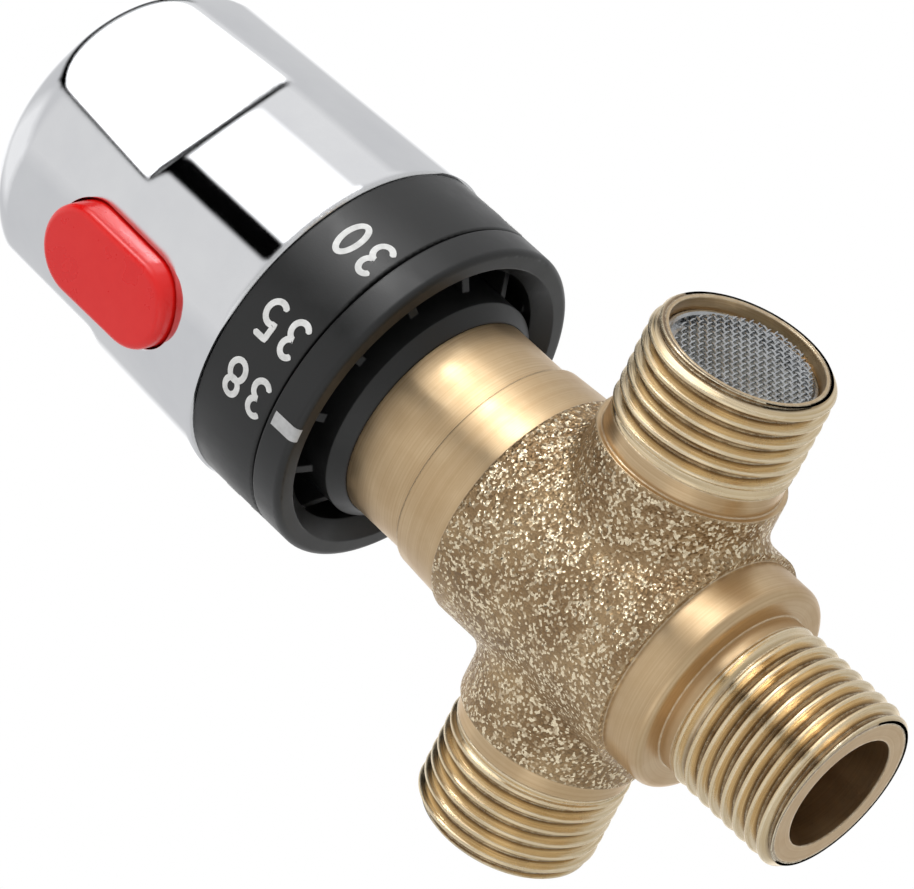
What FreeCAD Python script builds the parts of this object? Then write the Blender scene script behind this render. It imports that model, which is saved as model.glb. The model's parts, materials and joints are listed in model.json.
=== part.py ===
"""Thermostatic mixing valve: brass tee body with three G 1/2 ends, cartridge, knob and safety button.

Frame: millimetres, +Z up along the knob's axis, origin at the centre of the mixed outlet's end face.
The cold inlet points along +X and the hot inlet along -X. -Y is the front, where the index mark is.
"""
import FreeCAD, Part
import math
import os
import Sketcher
from FreeCAD import Placement, Rotation, Vector

SIZES = {
    # valve body: heights are measured from the outlet's end face, reaches from the knob's axis
    "thread_radius": 10.4775,       # G 1/2, major diameter 20.955
    "thread_end_chamfer": 0.8,
    "outlet_thread_length": 14.6,
    "relief_radius": 10.2,
    "relief_length": 1.8,
    "collar_radius": 13.4,
    "collar_length": 5.2,
    "collar_round": 1.2,
    "barrel_foot_radius": 14.1,
    "barrel_radius": 14.5,
    "barrel_below_boss": 0.9,
    "barrel_above_boss": 3.5,
    "barrel_edge_round": 0.5,
    "band_foot_radius": 14.0,
    "band_radius": 13.6,
    "band_length": 6.4,
    "inlet_thread_length": 11.7,
    "inlet_relief_length": 2.4,
    "boss_radius": 10.9,
    "boss_length": 3.9,
    "boss_fillet": 2.0,
    "outlet_bore": 7.07,
    "main_bore": 11.2,
    "main_bore_wall": 3.1,
    "bonnet_bore": 11.9,
    "bonnet_bore_depth": 7.2,
    "gallery_radius": 12.2,
    "gallery_length": 6.4,
    "gallery_offset": 4.4,          # hot gallery below the inlet axis, cold gallery above it
    "inlet_bore": 8.84,
    "inlet_bore_depth": 15.5,
    "inlet_chamber": 7.4,
    "inlet_chamber_depth": 2.4,
    "port_radius": 2.8,
    # bonnet: the cartridge's upper housing, screwed into the body's mouth
    "bonnet_engagement": 7.0,
    "bonnet_thread_gap": 0.15,
    "neck_radius": 13.0,
    "neck_length": 18.2,
    "neck_chamfer": 0.4,
    "hex_across_flats": 15.0,
    "hex_gap": 0.1,
    "bonnet_roof": 5.8,
    "nose_radius": 9.0,
    "nose_length": 4.1,
    "neck_teeth": 36,
    "neck_tooth_depth": 0.45,
    "neck_tooth_length": 6.6,
    # stop ring, fixed on the neck
    "ring_radius": 20.8,
    "rim_wall": 2.2,
    "rim_drop": 7.0,
    "rim_length": 4.0,
    "rim_round": 0.8,
    "skirt_inset": 2.6,
    "skirt_wall": 1.2,
    "hub_gap": 0.05,
    "hub_wall": 1.45,
    "hub_length": 9.3,
    "hub_foot_slope": 1.7,
    "ring_web": 1.6,
    "ring_ribs": 12,
    "rib_width": 1.1,
    "rib_foot_setback": 1.4,
    "lug_headroom": 0.9,
    "lug_cover": 0.4,
    "lug_margin": 0.5,
    "lug_angle": 12.0,
    "hot_override_angle": 60.0,
    "cold_turn_angle": 130.0,
    # knob: scale ring, carrier, shell, button
    "split_gap": 0.3,
    "scale_length": 10.0,
    "scale_wall": 2.15,
    "scale_round": 0.35,
    "scale_flange": 1.8,
    "scale_flange_lap": 0.7,
    "spigot_length": 3.6,
    "spigot_wall": 1.3,
    "spigot_gap": 0.1,
    "shell_overhang": 0.26,
    "shell_taper": 1.56,
    "shell_length": 41.9,
    "shell_crown": 2.2,
    "shell_wall": 2.0,
    "dome_round": 7.6,
    "flat_depth": 3.1,
    "flat_foot_rise": 18.8,
    "flat_foot_fall": 0.65,
    "flat_round": 0.9,
    "button_azimuth": -93.0,
    "button_rise": 15.9,
    "button_length": 19.5,
    "button_width": 10.8,
    "button_proud": 1.64,
    "button_round": 0.9,
    "button_gap": 0.3,
    "button_flange_lip": 1.1,
    "button_flange_inset": 5.06,
    "button_flange_wall": 1.3,
    "pawl_width": 6.0,
    "pawl_wall": 1.9,
    "pawl_clearance": 0.6,
    "button_travel": 1.6,
    "carrier_hub_radius": 7.5,
    "carrier_foot_gap": 1.1,
    "carrier_rise": 8.4,
    "carrier_web": 2.2,
    "carrier_gap": 0.15,
    "carrier_arm_width": 2.4,
    "carrier_arm_gap": 0.4,
    "carrier_arm_shoulder": 6.0,
    "spring_pad_reach": 10.0,
    "spring_pad_width": 7.0,
    # spindle and screw
    "spindle_radius": 4.5,
    "spindle_gap": 0.06,
    "spindle_thread_radius": 3.5,
    "spindle_engagement": 5.0,
    "spindle_reach": 12.3,
    "spindle_flange_radius": 7.2,
    "spindle_flange_wall": 1.6,
    "washer_wall": 0.5,
    "spline_teeth": 18,
    "spline_depth": 0.4,
    "spline_length": 12.0,
    "screw_radius": 2.4,
    "screw_length": 12.0,
    "screw_head_radius": 4.2,
    "screw_head_height": 3.2,
    "screw_socket": 2.5,
    "carrier_seat_wall": 1.8,
    # adjuster nut, overload spring and pin
    "adjuster_headroom": 6.4,
    "adjuster_footroom": 1.4,
    "adjuster_cup_bore": 6.0,
    "adjuster_cup_depth": 7.0,
    "adjuster_gap": 0.08,
    "cup_radius": 5.8,
    "cup_wall": 1.2,
    "cup_spigot_radius": 2.6,
    "cup_spigot_length": 1.4,
    "cup_lip": 0.6,
    "clip_lap": 1.4,
    "clip_wall": 0.9,
    "overload_wire": 1.1,
    "overload_mean": 4.2,
    "overload_turns": 2.5,
    "pin_radius": 1.1,
    "pin_gap": 0.06,
    "pin_start": 5.0,
    # cartridge sleeve, shuttle and wax element
    "sleeve_gap": 0.08,
    "sleeve_end_gap": 0.3,
    "sleeve_floor": 1.5,
    "sleeve_floor_bore": 5.9,
    "hot_seat_drop": 4.4,
    "hot_seat_bore": 7.5,
    "sleeve_bore": 9.3,
    "window_width": 7.0,
    "window_height": 4.6,
    "seat_gap": 0.5,
    "shuttle_length": 7.8,
    "shuttle_skirt": 8.5,
    "shuttle_land": 9.24,
    "shuttle_land_length": 3.8,
    "shuttle_bore": 7.3,
    "shuttle_hub": 5.6,
    "shuttle_spoke_width": 2.0,
    "shuttle_spoke_height": 2.2,
    "seat_ring_bore": 7.0,
    "element_bulb": 5.0,
    "element_bulb_length": 9.6,
    "element_neck": 3.4,
    "element_guide": 2.5,
    "element_guide_length": 4.1,
    "return_wire": 0.9,
    "return_mean": 6.3,
    "return_turns": 4.5,
    # O-rings
    "seal_wire": 0.6,
    "seal_clearance": 0.02,
    # check valves and filters; reaches are measured from the knob's axis
    "check_housing_gap": 0.12,
    "check_housing_length": 12.3,
    "check_bore": 7.2,
    "check_seat_depth": 7.4,
    "check_seat_wall": 1.2,
    "check_seat_bore": 5.2,
    "check_spider_wall": 1.2,
    "check_hub_radius": 2.2,
    "check_arm_width": 1.4,
    "poppet_radius": 6.3,
    "poppet_wall": 1.2,
    "poppet_seal_wall": 0.6,
    "poppet_stem": 1.2,
    "poppet_nose_step": 1.4,
    "poppet_nose": 2.2,
    "poppet_nose_crown": 0.6,
    "stem_gap": 0.08,
    "check_wire": 0.5,
    "check_mean": 3.2,
    "check_turns": 2.5,
    "filter_length": 1.7,
    "filter_gap": 0.06,
    "filter_ledge": 0.7,
    "filter_ledge_bore": 7.3,
    "filter_bore": 8.0,
    "mesh_gap": 0.05,
    "mesh_wall": 0.4,
    "mesh_pitch": 1.6,
    "mesh_hole": 1.1,
    "mesh_border": 0.5,
    # retaining clip of the stop ring
    "ring_clip_wall": 1.0,
    "ring_clip_radius": 10.6,
    "ring_clip_depth": 0.8,
    "ring_clip_gap": 0.05,
}

doc = FreeCAD.newDocument("MixingValve")
sheet = doc.addObject("Spreadsheet::Sheet", "Sizes")
for row, (word, number) in enumerate(SIZES.items(), start=1):
    sheet.set(f"A{row}", word)
    sheet.set(f"B{row}", str(number))
    sheet.setAlias(f"B{row}", word)
doc.recompute()


class Size:
    """A length or angle that knows both its number and the expression FreeCAD binds."""

    def __init__(self, value, text):
        self.value = value
        self.text = text

    def __add__(self, other):
        other = size(other)
        return Size(self.value + other.value, f"({self.text} + {other.text})")

    def __sub__(self, other):
        other = size(other)
        return Size(self.value - other.value, f"({self.text} - {other.text})")

    def __mul__(self, other):
        other = size(other)
        return Size(self.value * other.value, f"({self.text} * {other.text})")

    def __truediv__(self, other):
        other = size(other)
        return Size(self.value / other.value, f"({self.text} / {other.text})")

    def __neg__(self):
        return Size(-self.value, f"(0 - {self.text})")

    def root(self):
        return Size(math.sqrt(self.value), f"sqrt({self.text})")


def size(value):
    return value if isinstance(value, Size) else Size(float(value), str(float(value)))


class Sheet:
    """Reads a cell by its alias: S.neck_radius."""

    def __getattr__(self, word):
        return Size(float(getattr(sheet, word)), f"Sizes.{word}")


S = Sheet()
NODES = []


def bind(thing, path, value):
    value = size(value)
    thing.setExpression(path, value.text)


def node(thing, label):
    """Registers a finished sub-part under the name of its file."""
    thing.Label = label
    NODES.append(thing)
    return thing


# ---------------------------------------------------------------- sketches and features

def new_body(name):
    return doc.addObject("PartDesign::Body", name)


def sketch_on(body, plane, along=0, up=0, out=0, spin=0, about=Vector(0, 1, 0)):
    """A sketch on an origin plane, moved along its own x, y and normal and spun about one of them."""
    sketch = body.newObject("Sketcher::SketchObject", f"{body.Name}_sketch")
    face = [item for item in body.Origin.OriginFeatures if item.Role == plane][0]
    sketch.AttachmentSupport = [(face, "")]
    sketch.MapMode = "FlatFace"
    sketch.AttachmentOffset = Placement(Vector(), Rotation(about, size(spin).value))
    bind(sketch, "AttachmentOffset.Rotation.Angle", spin)
    for axis, shift in (("x", along), ("y", up), ("z", out)):
        bind(sketch, f"AttachmentOffset.Base.{axis}", shift)
    return sketch


def tie(sketch, kind, *where, value):
    index = sketch.addConstraint(Sketcher.Constraint(kind, *where, value.value))
    bind(sketch, f"Constraints[{index}]", value)


def place_point(sketch, shape, end, x, y):
    """Ties one point to the sketch's axes."""
    for kind, axis, value in (("DistanceX", -2, size(x)), ("DistanceY", -1, size(y))):
        if value.text == "0.0":
            sketch.addConstraint(Sketcher.Constraint("PointOnObject", shape, end, axis))
        else:
            tie(sketch, kind, shape, end, value=value)


def crown_arc(first, last):
    """An arc from a point on the vertical axis, with its centre on that axis."""
    rise = first.y - last.y
    radius = (last.x ** 2 + rise ** 2) / (2 * rise)
    half = math.asin(last.x / radius) / 2
    middle = Vector(radius * math.sin(half), first.y - radius + radius * math.cos(half), 0)
    return Part.Arc(first, middle, last)


def outline(sketch, points, crown=None):
    """A closed outline of straight sides; side number `crown` is an arc centred on the axis."""
    points = [(size(x), size(y)) for x, y in points]
    corners = [Vector(x.value, y.value, 0) for x, y in points]
    count = len(points)
    for i in range(count):
        side = corners[i], corners[(i + 1) % count]
        sketch.addGeometry(crown_arc(*side) if i == crown else Part.LineSegment(*side), False)
    # Part.Arc may run backwards, so the ends of each side are looked up by where they lie
    ends = [(1, 2) if sketch.getPoint(i, 1).isEqual(corners[i], 1e-6) else (2, 1) for i in range(count)]
    for i, (x, y) in enumerate(points):
        place_point(sketch, i, ends[i][0], x, y)
        after = (i + 1) % count
        sketch.addConstraint(Sketcher.Constraint("Coincident", i, ends[i][1], after, ends[after][0]))
        if i == crown:
            sketch.addConstraint(Sketcher.Constraint("PointOnObject", i, 3, -2))


def circle(sketch, radius, x=0, y=0):
    """A circle of bound radius and centre."""
    centre = Vector(size(x).value, size(y).value, 0)
    index = sketch.addGeometry(Part.Circle(centre, Vector(0, 0, 1), size(radius).value), False)
    tie(sketch, "Radius", index, value=size(radius))
    place_point(sketch, index, 3, x, y)


def slot(sketch, length, width, height):
    """An upright round-ended slot centred on the vertical axis."""
    radius = width / 2
    high = height + length / 2 - radius
    low = height - length / 2 + radius
    for centre, start, end in ((high, 0, math.pi), (low, math.pi, 2 * math.pi)):
        round_end = Part.Circle(Vector(0, centre.value, 0), Vector(0, 0, 1), radius.value)
        index = sketch.addGeometry(Part.ArcOfCircle(round_end, start, end), False)
        tie(sketch, "Radius", index, value=radius)
        place_point(sketch, index, 3, 0, centre)
    for side in (1, -1):
        x = side * radius.value
        sketch.addGeometry(Part.LineSegment(Vector(x, high.value, 0), Vector(x, low.value, 0)), False)
    for line, upper, lower in ((2, 1, 2), (3, 2, 1)):
        sketch.addConstraint(Sketcher.Constraint("Tangent", 0, upper, line, 1))
        sketch.addConstraint(Sketcher.Constraint("Tangent", 1, lower, line, 2))


def turn(body, points, axis="V_Axis", up=0, cut=False, crown=None):
    """Revolves an outline of (radius, height) corners, as an addition or as a groove."""
    sketch = sketch_on(body, "XZ_Plane", up=up)
    outline(sketch, points, crown)
    kind = "Groove" if cut else "Revolution"
    feature = body.newObject(f"PartDesign::{kind}", f"{body.Name}_{kind.lower()}")
    feature.Profile = sketch
    feature.ReferenceAxis = (sketch, [axis])
    feature.Angle = 360
    body.Tip = feature
    doc.recompute()
    return feature


def extrude(body, sketch, length, cut=False, middle=False, back=False):
    """Pads or pockets a sketch; `back` runs against the direction the feature takes by itself."""
    kind = "Pocket" if cut else "Pad"
    before = body.Shape.Volume if cut else 0
    feature = body.newObject(f"PartDesign::{kind}", f"{body.Name}_{kind.lower()}")
    feature.Profile = sketch
    bind(feature, "Length", length)
    feature.SideType = "Symmetric" if middle else "One side"
    feature.Reversed = back
    body.Tip = feature
    doc.recompute()
    if cut and not feature.Shape.Volume < before:
        raise RuntimeError(f"{feature.Name} removes nothing")
    return feature


def around(body, feature, count, angle=360):
    """Repeats a feature round the body's vertical axis."""
    pattern = body.newObject("PartDesign::PolarPattern", f"{body.Name}_pattern")
    pattern.Originals = [feature]
    axis = [item for item in body.Origin.OriginFeatures if item.Role == "Z_Axis"][0]
    pattern.Axis = (axis, [""])
    pattern.Angle = angle
    bind(pattern, "Occurrences", count)
    body.Tip = pattern
    doc.recompute()
    return pattern


def edges_where(shape, test):
    """Names of the edges that pass a test; a dome's pole is an edge with no curve."""
    return [f"Edge{i}" for i, edge in enumerate(shape.Edges, start=1)
            if not edge.Degenerated and test(edge)]


def ring_edge(radius, height):
    """Picks the full or part circles of one radius at one height."""
    radius, height = size(radius).value, size(height).value

    def test(edge):
        curve = edge.Curve
        return (isinstance(curve, Part.Circle) and abs(curve.Radius - radius) < 1e-4
                and abs(curve.Center.z - height) < 1e-4 and abs(curve.Axis.z) > 0.999)
    return test


def soften(body, test, radius, kind="Fillet"):
    """Fillets or chamfers the picked edges of the body's last feature."""
    base = body.Tip
    names = edges_where(base.Shape, test)
    if not names:
        raise RuntimeError(f"{body.Name}: no edge to soften")
    feature = body.newObject(f"PartDesign::{kind}", f"{body.Name}_{kind.lower()}")
    feature.Base = (base, names)
    bind(feature, "Radius" if kind == "Fillet" else "Size", radius)
    body.Tip = feature
    doc.recompute()
    return feature


def turned(label, points, **options):
    """A whole piece made by one revolve."""
    body = new_body(label)
    turn(body, points, **options)
    return node(body, label)


def teeth(body, radius, depth, count, low, length, cut):
    """Straight V teeth round a shaft (cut) or inside a bore (added), with their tips inwards."""
    sketch = sketch_on(body, "XY_Plane", out=low)
    half = depth * 0.8
    lap = depth * 0.5
    outline(sketch, [(radius - depth, 0), (radius + lap, half + lap * 0.8),
                     (radius + lap, -(half + lap * 0.8))])
    feature = extrude(body, sketch, length, cut=cut, back=cut)
    return around(body, feature, count)


def face_outwards(body, side, height):
    """Lays a piece that is drawn along Z on the inlet's axis: side 1 for cold, -1 for hot."""
    body.Placement = Placement(Vector(), Rotation(Vector(0, 1, 0), 90 * side))
    bind(body, "Placement.Base.z", height)


def o_ring(label, mean, wire, height):
    """A rubber ring of round section."""
    ring = doc.addObject("Part::Torus", label)
    bind(ring, "Radius1", mean)
    bind(ring, "Radius2", wire)
    bind(ring, "Placement.Base.z", height)
    return node(ring, label)


def coil_spring(label, mean, wire, low, high, turns):
    """A compression spring between two seats, with its round wire just clear of both."""
    body = new_body(label)
    sketch = sketch_on(body, "XZ_Plane")
    clear = 0.03
    circle(sketch, wire / 2, mean, low + wire / 2 + clear)
    helix = body.newObject("PartDesign::AdditiveHelix", f"{label}_helix")
    helix.Profile = sketch
    helix.ReferenceAxis = (sketch, ["V_Axis"])
    helix.Mode = "height-turns-angle"
    bind(helix, "Height", high - low - wire - clear * 2)
    bind(helix, "Turns", turns)
    body.Tip = helix
    doc.recompute()
    return node(body, label)


# ---------------------------------------------------------------- places shared by several pieces

# valve body, from the outlet's end face up
collar_foot = S.outlet_thread_length + S.relief_length
barrel_foot = collar_foot + S.collar_length
inlet_height = barrel_foot + S.barrel_below_boss + S.boss_radius
barrel_top = inlet_height + S.boss_radius + S.barrel_above_boss
body_top = barrel_top + S.band_length
main_floor = collar_foot + S.main_bore_wall
hot_height = inlet_height - S.gallery_offset
cold_height = inlet_height + S.gallery_offset
# inlets, from the knob's axis out
boss_end = S.barrel_radius + S.boss_length
thread_start = boss_end + S.inlet_relief_length
inlet_reach = thread_start + S.inlet_thread_length
inlet_floor = inlet_reach - S.inlet_bore_depth
chamber_floor = inlet_floor - S.inlet_chamber_depth
check_seat = inlet_floor + S.check_seat_depth
housing_top = inlet_floor + S.check_housing_length
# bonnet and stop ring
bonnet_foot = body_top - S.bonnet_engagement
neck_top = body_top + S.neck_length
nose_top = neck_top + S.nose_length
roof_foot = neck_top - S.bonnet_roof
sleeve_top = bonnet_foot - S.sleeve_end_gap
hub_foot = neck_top - S.hub_length
rim_foot = neck_top - S.rim_drop
rim_top = rim_foot + S.rim_length
web_top = neck_top + S.ring_web
skirt_radius = S.ring_radius - S.skirt_inset
# shuttle and wax element
hot_seat = inlet_height - S.hot_seat_drop
shuttle_foot = hot_seat + S.seat_gap
shuttle_top = shuttle_foot + S.shuttle_length
shuttle_middle = shuttle_foot + S.shuttle_length / 2
cold_seat = shuttle_top + S.seat_gap
element_top = shuttle_top + S.element_guide_length
# knob
scale_foot = rim_top + S.split_gap
scale_top = scale_foot + S.scale_length
scale_flange_foot = scale_top - S.scale_flange
shell_foot_radius = S.ring_radius + S.shell_overhang
shell_top_radius = shell_foot_radius - S.shell_taper
shell_top = scale_top + S.shell_length
shell_edge = shell_top - S.shell_crown
shell_drop = (shell_foot_radius - shell_top_radius) / (shell_edge - scale_top)
flat_reach = S.ring_radius - S.flat_depth
flat_foot = scale_top + S.flat_foot_rise
button_height = scale_top + S.button_rise
button_face = shell_foot_radius + S.button_proud
button_flange = shell_foot_radius - S.button_flange_inset
pawl_outer = button_flange + S.pawl_clearance
scale_flange_bore = pawl_outer - S.scale_flange_lap
lug_height = scale_flange_foot - web_top - S.lug_headroom
lug_outer = pawl_outer + S.lug_cover
stop_lug_inner = pawl_outer - S.button_travel + S.lug_margin
end_lug_inner = pawl_outer - S.pawl_wall - S.button_travel - S.lug_margin
# spindle, adjuster and carrier
spindle_top = scale_top + S.spindle_reach
adjuster_top = roof_foot - S.adjuster_headroom
adjuster_foot = bonnet_foot + S.adjuster_footroom
cup_floor = adjuster_foot + S.clip_wall + S.cup_lip
spindle_foot = adjuster_top - S.spindle_engagement
carrier_foot = nose_top + S.carrier_foot_gap
carrier_top = spindle_top + S.carrier_rise


# ---------------------------------------------------------------- valve body

def valve_body():
    """One brass casting, machined at its three ends, its collar and its mouth."""
    body = new_body("valve_body")
    turn(body, [
        (0, 0),
        (S.thread_radius - S.thread_end_chamfer, 0),
        (S.thread_radius, S.thread_end_chamfer),
        (S.thread_radius, S.outlet_thread_length),
        (S.relief_radius, S.outlet_thread_length),
        (S.relief_radius, collar_foot),
        (S.barrel_foot_radius, collar_foot),
        (S.barrel_radius, barrel_top),
        (0, barrel_top),
    ])
    turn(body, [(-boss_end, 0), (-boss_end, S.boss_radius), (boss_end, S.boss_radius), (boss_end, 0)],
         axis="H_Axis", up=inlet_height)
    soften(body, lambda edge: not isinstance(edge.Curve, (Part.Circle, Part.Line)), S.boss_fillet)
    # the machining cuts through the fillets, as it does on the real casting
    turn(body, [
        (S.collar_radius, collar_foot - 1),
        (S.collar_radius, barrel_foot),
        (S.barrel_radius * 2, barrel_foot),
        (S.barrel_radius * 2, collar_foot - 1),
    ], cut=True)
    soften(body, ring_edge(S.collar_radius, collar_foot), S.collar_round)
    soften(body, ring_edge(S.barrel_radius, barrel_top), S.barrel_edge_round)
    turn(body, [
        (0, barrel_top - 1),
        (S.band_foot_radius, barrel_top - 1),
        (S.band_foot_radius, barrel_top),
        (S.band_radius, body_top),
        (0, body_top),
    ])
    for side in (1, -1):
        turn(body, [
            ((boss_end - 1) * side, 0),
            ((boss_end - 1) * side, S.relief_radius),
            (thread_start * side, S.relief_radius),
            (thread_start * side, S.thread_radius),
            ((inlet_reach - S.thread_end_chamfer) * side, S.thread_radius),
            (inlet_reach * side, S.thread_radius - S.thread_end_chamfer),
            (inlet_reach * side, 0),
        ], axis="H_Axis", up=inlet_height)
    passages(body)
    return node(body, "valve_body")


def passages(body):
    """The outlet bore, the cartridge's bore with its two galleries, and the two inlet bores."""
    turn(body, [
        (0, -1),
        (S.outlet_bore, -1),
        (S.outlet_bore, main_floor),
        (S.main_bore, main_floor),
        (S.main_bore, body_top - S.bonnet_bore_depth),
        (S.bonnet_bore, body_top - S.bonnet_bore_depth),
        (S.bonnet_bore, body_top + 1),
        (0, body_top + 1),
    ], cut=True)
    for height in (hot_height, cold_height):
        turn(body, [
            (S.main_bore - 1, height - S.gallery_length / 2),
            (S.gallery_radius, height - S.gallery_length / 2),
            (S.gallery_radius, height + S.gallery_length / 2),
            (S.main_bore - 1, height + S.gallery_length / 2),
        ], cut=True)
    for side, height in ((1, cold_height), (-1, hot_height)):
        turn(body, [
            (chamber_floor * side, 0),
            (chamber_floor * side, S.inlet_chamber),
            (inlet_floor * side, S.inlet_chamber),
            (inlet_floor * side, S.inlet_bore),
            ((inlet_reach + 1) * side, S.inlet_bore),
            ((inlet_reach + 1) * side, 0),
        ], axis="H_Axis", up=inlet_height, cut=True)
        port = sketch_on(body, "YZ_Plane")
        circle(port, S.port_radius, 0, height)
        extrude(body, port, chamber_floor + 1, cut=True, back=side > 0)


# ---------------------------------------------------------------- cartridge housing

def bonnet():
    """The cartridge's upper housing: male thread, hexagonal guide for the adjuster, toothed neck."""
    body = new_body("bonnet")
    male = S.bonnet_bore - S.bonnet_thread_gap
    clip_low = web_top
    clip_root = S.nose_radius - S.ring_clip_depth
    turn(body, [
        (S.spindle_radius + S.spindle_gap, bonnet_foot),
        (male, bonnet_foot),
        (male, body_top - 1.6),
        (male - S.seal_wire * 1.6, body_top - 1.6),
        (male - S.seal_wire * 1.6, body_top - 0.3),
        (male, body_top - 0.3),
        (male, body_top),
        (S.neck_radius, body_top),
        (S.neck_radius, neck_top - S.neck_chamfer),
        (S.neck_radius - S.neck_chamfer, neck_top),
        (S.nose_radius, neck_top),
        (S.nose_radius, clip_low),
        (clip_root, clip_low),
        (clip_root, clip_low + S.ring_clip_wall + S.ring_clip_gap),
        (S.nose_radius, clip_low + S.ring_clip_wall + S.ring_clip_gap),
        (S.nose_radius, nose_top),
        (S.spindle_radius + S.spindle_gap, nose_top),
    ])
    guide = sketch_on(body, "XY_Plane", out=bonnet_foot)
    hexagon(guide, S.hex_across_flats + S.hex_gap * 2)
    extrude(body, guide, roof_foot - bonnet_foot, cut=True, back=True)
    teeth(body, S.neck_radius, S.neck_tooth_depth, S.neck_teeth, neck_top - S.neck_tooth_length,
          S.neck_tooth_length, cut=True)
    return node(body, "bonnet")


def hexagon(sketch, across_flats):
    """A regular hexagon with two corners on the horizontal axis."""
    corner = across_flats / size(3).root()
    half = across_flats / 2
    outline(sketch, [(corner, 0), (corner / 2, half), (-corner / 2, half),
                     (-corner, 0), (-corner / 2, -half), (corner / 2, -half)])


def cartridge_sleeve():
    """The lower housing: hot and cold windows, the hot seat and the return spring's ledge."""
    body = new_body("cartridge_sleeve")
    outer = S.main_bore - S.sleeve_gap
    groove_root = S.main_bore - (S.seal_wire + S.seal_clearance) * 2
    low = main_floor
    points = [(S.sleeve_floor_bore, low), (outer, low)]
    for height in seal_heights():
        points += [
            (outer, height - S.seal_wire * 1.1),
            (groove_root, height - S.seal_wire * 1.1),
            (groove_root, height + S.seal_wire * 1.1),
            (outer, height + S.seal_wire * 1.1),
        ]
    points += [
        (outer, sleeve_top),
        (S.sleeve_bore, sleeve_top),
        (S.sleeve_bore, hot_seat),
        (S.hot_seat_bore, hot_seat),
        (S.hot_seat_bore, low + S.sleeve_floor),
        (S.sleeve_floor_bore, low + S.sleeve_floor),
    ]
    turn(body, points)
    for height in (hot_height, cold_height):
        window = sketch_on(body, "XZ_Plane")
        half = S.window_width / 2
        bottom, top = height - S.window_height / 2, height + S.window_height / 2
        outline(window, [(-half, bottom), (half, bottom), (half, top), (-half, top)])
        cut = extrude(body, window, S.main_bore * 2, cut=True)
        around(body, cut, 4)
    return node(body, "cartridge_sleeve")


def seal_heights():
    """Below the hot gallery, between the two galleries and above the cold one."""
    beyond = S.gallery_length / 2 + S.seal_wire * 2.6
    return [hot_height - beyond, inlet_height, cold_height + beyond]


def cartridge_seals():
    for name, height in zip(("lower", "middle", "upper"), seal_heights()):
        o_ring(f"sleeve_seal_{name}", S.main_bore - S.seal_wire - S.seal_clearance, S.seal_wire, height)
    male_root = S.bonnet_bore - S.bonnet_thread_gap - S.seal_wire * 1.6
    o_ring("bonnet_seal", male_root + S.seal_wire * 0.8 + S.seal_clearance, S.seal_wire * 0.8,
           body_top - 0.95)


def seat_ring():
    """The cold seat, held down on the sleeve's bore by the bonnet."""
    outer = S.sleeve_bore - S.sleeve_gap
    turned("seat_ring", [
        (S.seat_ring_bore, cold_seat),
        (outer, cold_seat),
        (outer, bonnet_foot),
        (S.seat_ring_bore, bonnet_foot),
    ])


# ---------------------------------------------------------------- shuttle and wax element

def shuttle():
    """The regulating sleeve: its lower edge closes the hot seat, its upper edge the cold one."""
    body = new_body("shuttle")
    land_low = shuttle_middle - S.shuttle_land_length / 2
    land_high = shuttle_middle + S.shuttle_land_length / 2
    seal_wire = S.seal_wire * 0.8
    groove = seal_wire * 1.1
    root = S.sleeve_bore - (seal_wire + S.seal_clearance) * 2
    turn(body, [
        (S.shuttle_bore, shuttle_foot),
        (S.shuttle_skirt, shuttle_foot),
        (S.shuttle_skirt, land_low),
        (S.shuttle_land, land_low),
        (S.shuttle_land, shuttle_middle - groove),
        (root, shuttle_middle - groove),
        (root, shuttle_middle + groove),
        (S.shuttle_land, shuttle_middle + groove),
        (S.shuttle_land, land_high),
        (S.shuttle_skirt, land_high),
        (S.shuttle_skirt, shuttle_top),
        (S.shuttle_bore, shuttle_top),
    ])
    spoke = sketch_on(body, "XY_Plane", out=shuttle_middle)
    half = S.shuttle_spoke_width / 2
    reach = S.shuttle_bore + 0.2
    outline(spoke, [(0, -half), (reach, -half), (reach, half), (0, half)])
    arm = extrude(body, spoke, S.shuttle_spoke_height)
    around(body, arm, 4)
    turn(body, [(0, shuttle_foot + 1), (S.shuttle_hub, shuttle_foot + 1),
                (S.shuttle_hub, shuttle_top), (0, shuttle_top)])
    turn(body, [(0, shuttle_foot - 1), (S.element_neck + S.pin_gap, shuttle_foot - 1),
                (S.element_neck + S.pin_gap, shuttle_top + 1), (0, shuttle_top + 1)], cut=True)
    node(body, "shuttle")
    o_ring("shuttle_seal", S.sleeve_bore - seal_wire - S.seal_clearance, seal_wire, shuttle_middle)


def wax_element():
    """The copper wax capsule, its threaded neck in the shuttle's hub and the bored pin guide."""
    flange = shuttle_foot + 1
    bore = S.pin_radius + S.pin_gap
    turned("wax_element", [
        (0, flange - S.element_bulb_length),
        (S.element_bulb - 0.8, flange - S.element_bulb_length),
        (S.element_bulb, flange - S.element_bulb_length + 0.8),
        (S.element_bulb, flange - 1.2),
        (S.shuttle_hub, flange - 1.2),
        (S.shuttle_hub, flange),
        (S.element_neck, flange),
        (S.element_neck, shuttle_top - 0.4),
        (S.element_guide, shuttle_top + 0.4),
        (S.element_guide, element_top),
        (bore, element_top),
        (bore, flange + 2),
        (0, flange + 2),
    ])


# ---------------------------------------------------------------- adjuster, overload spring and pin

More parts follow.
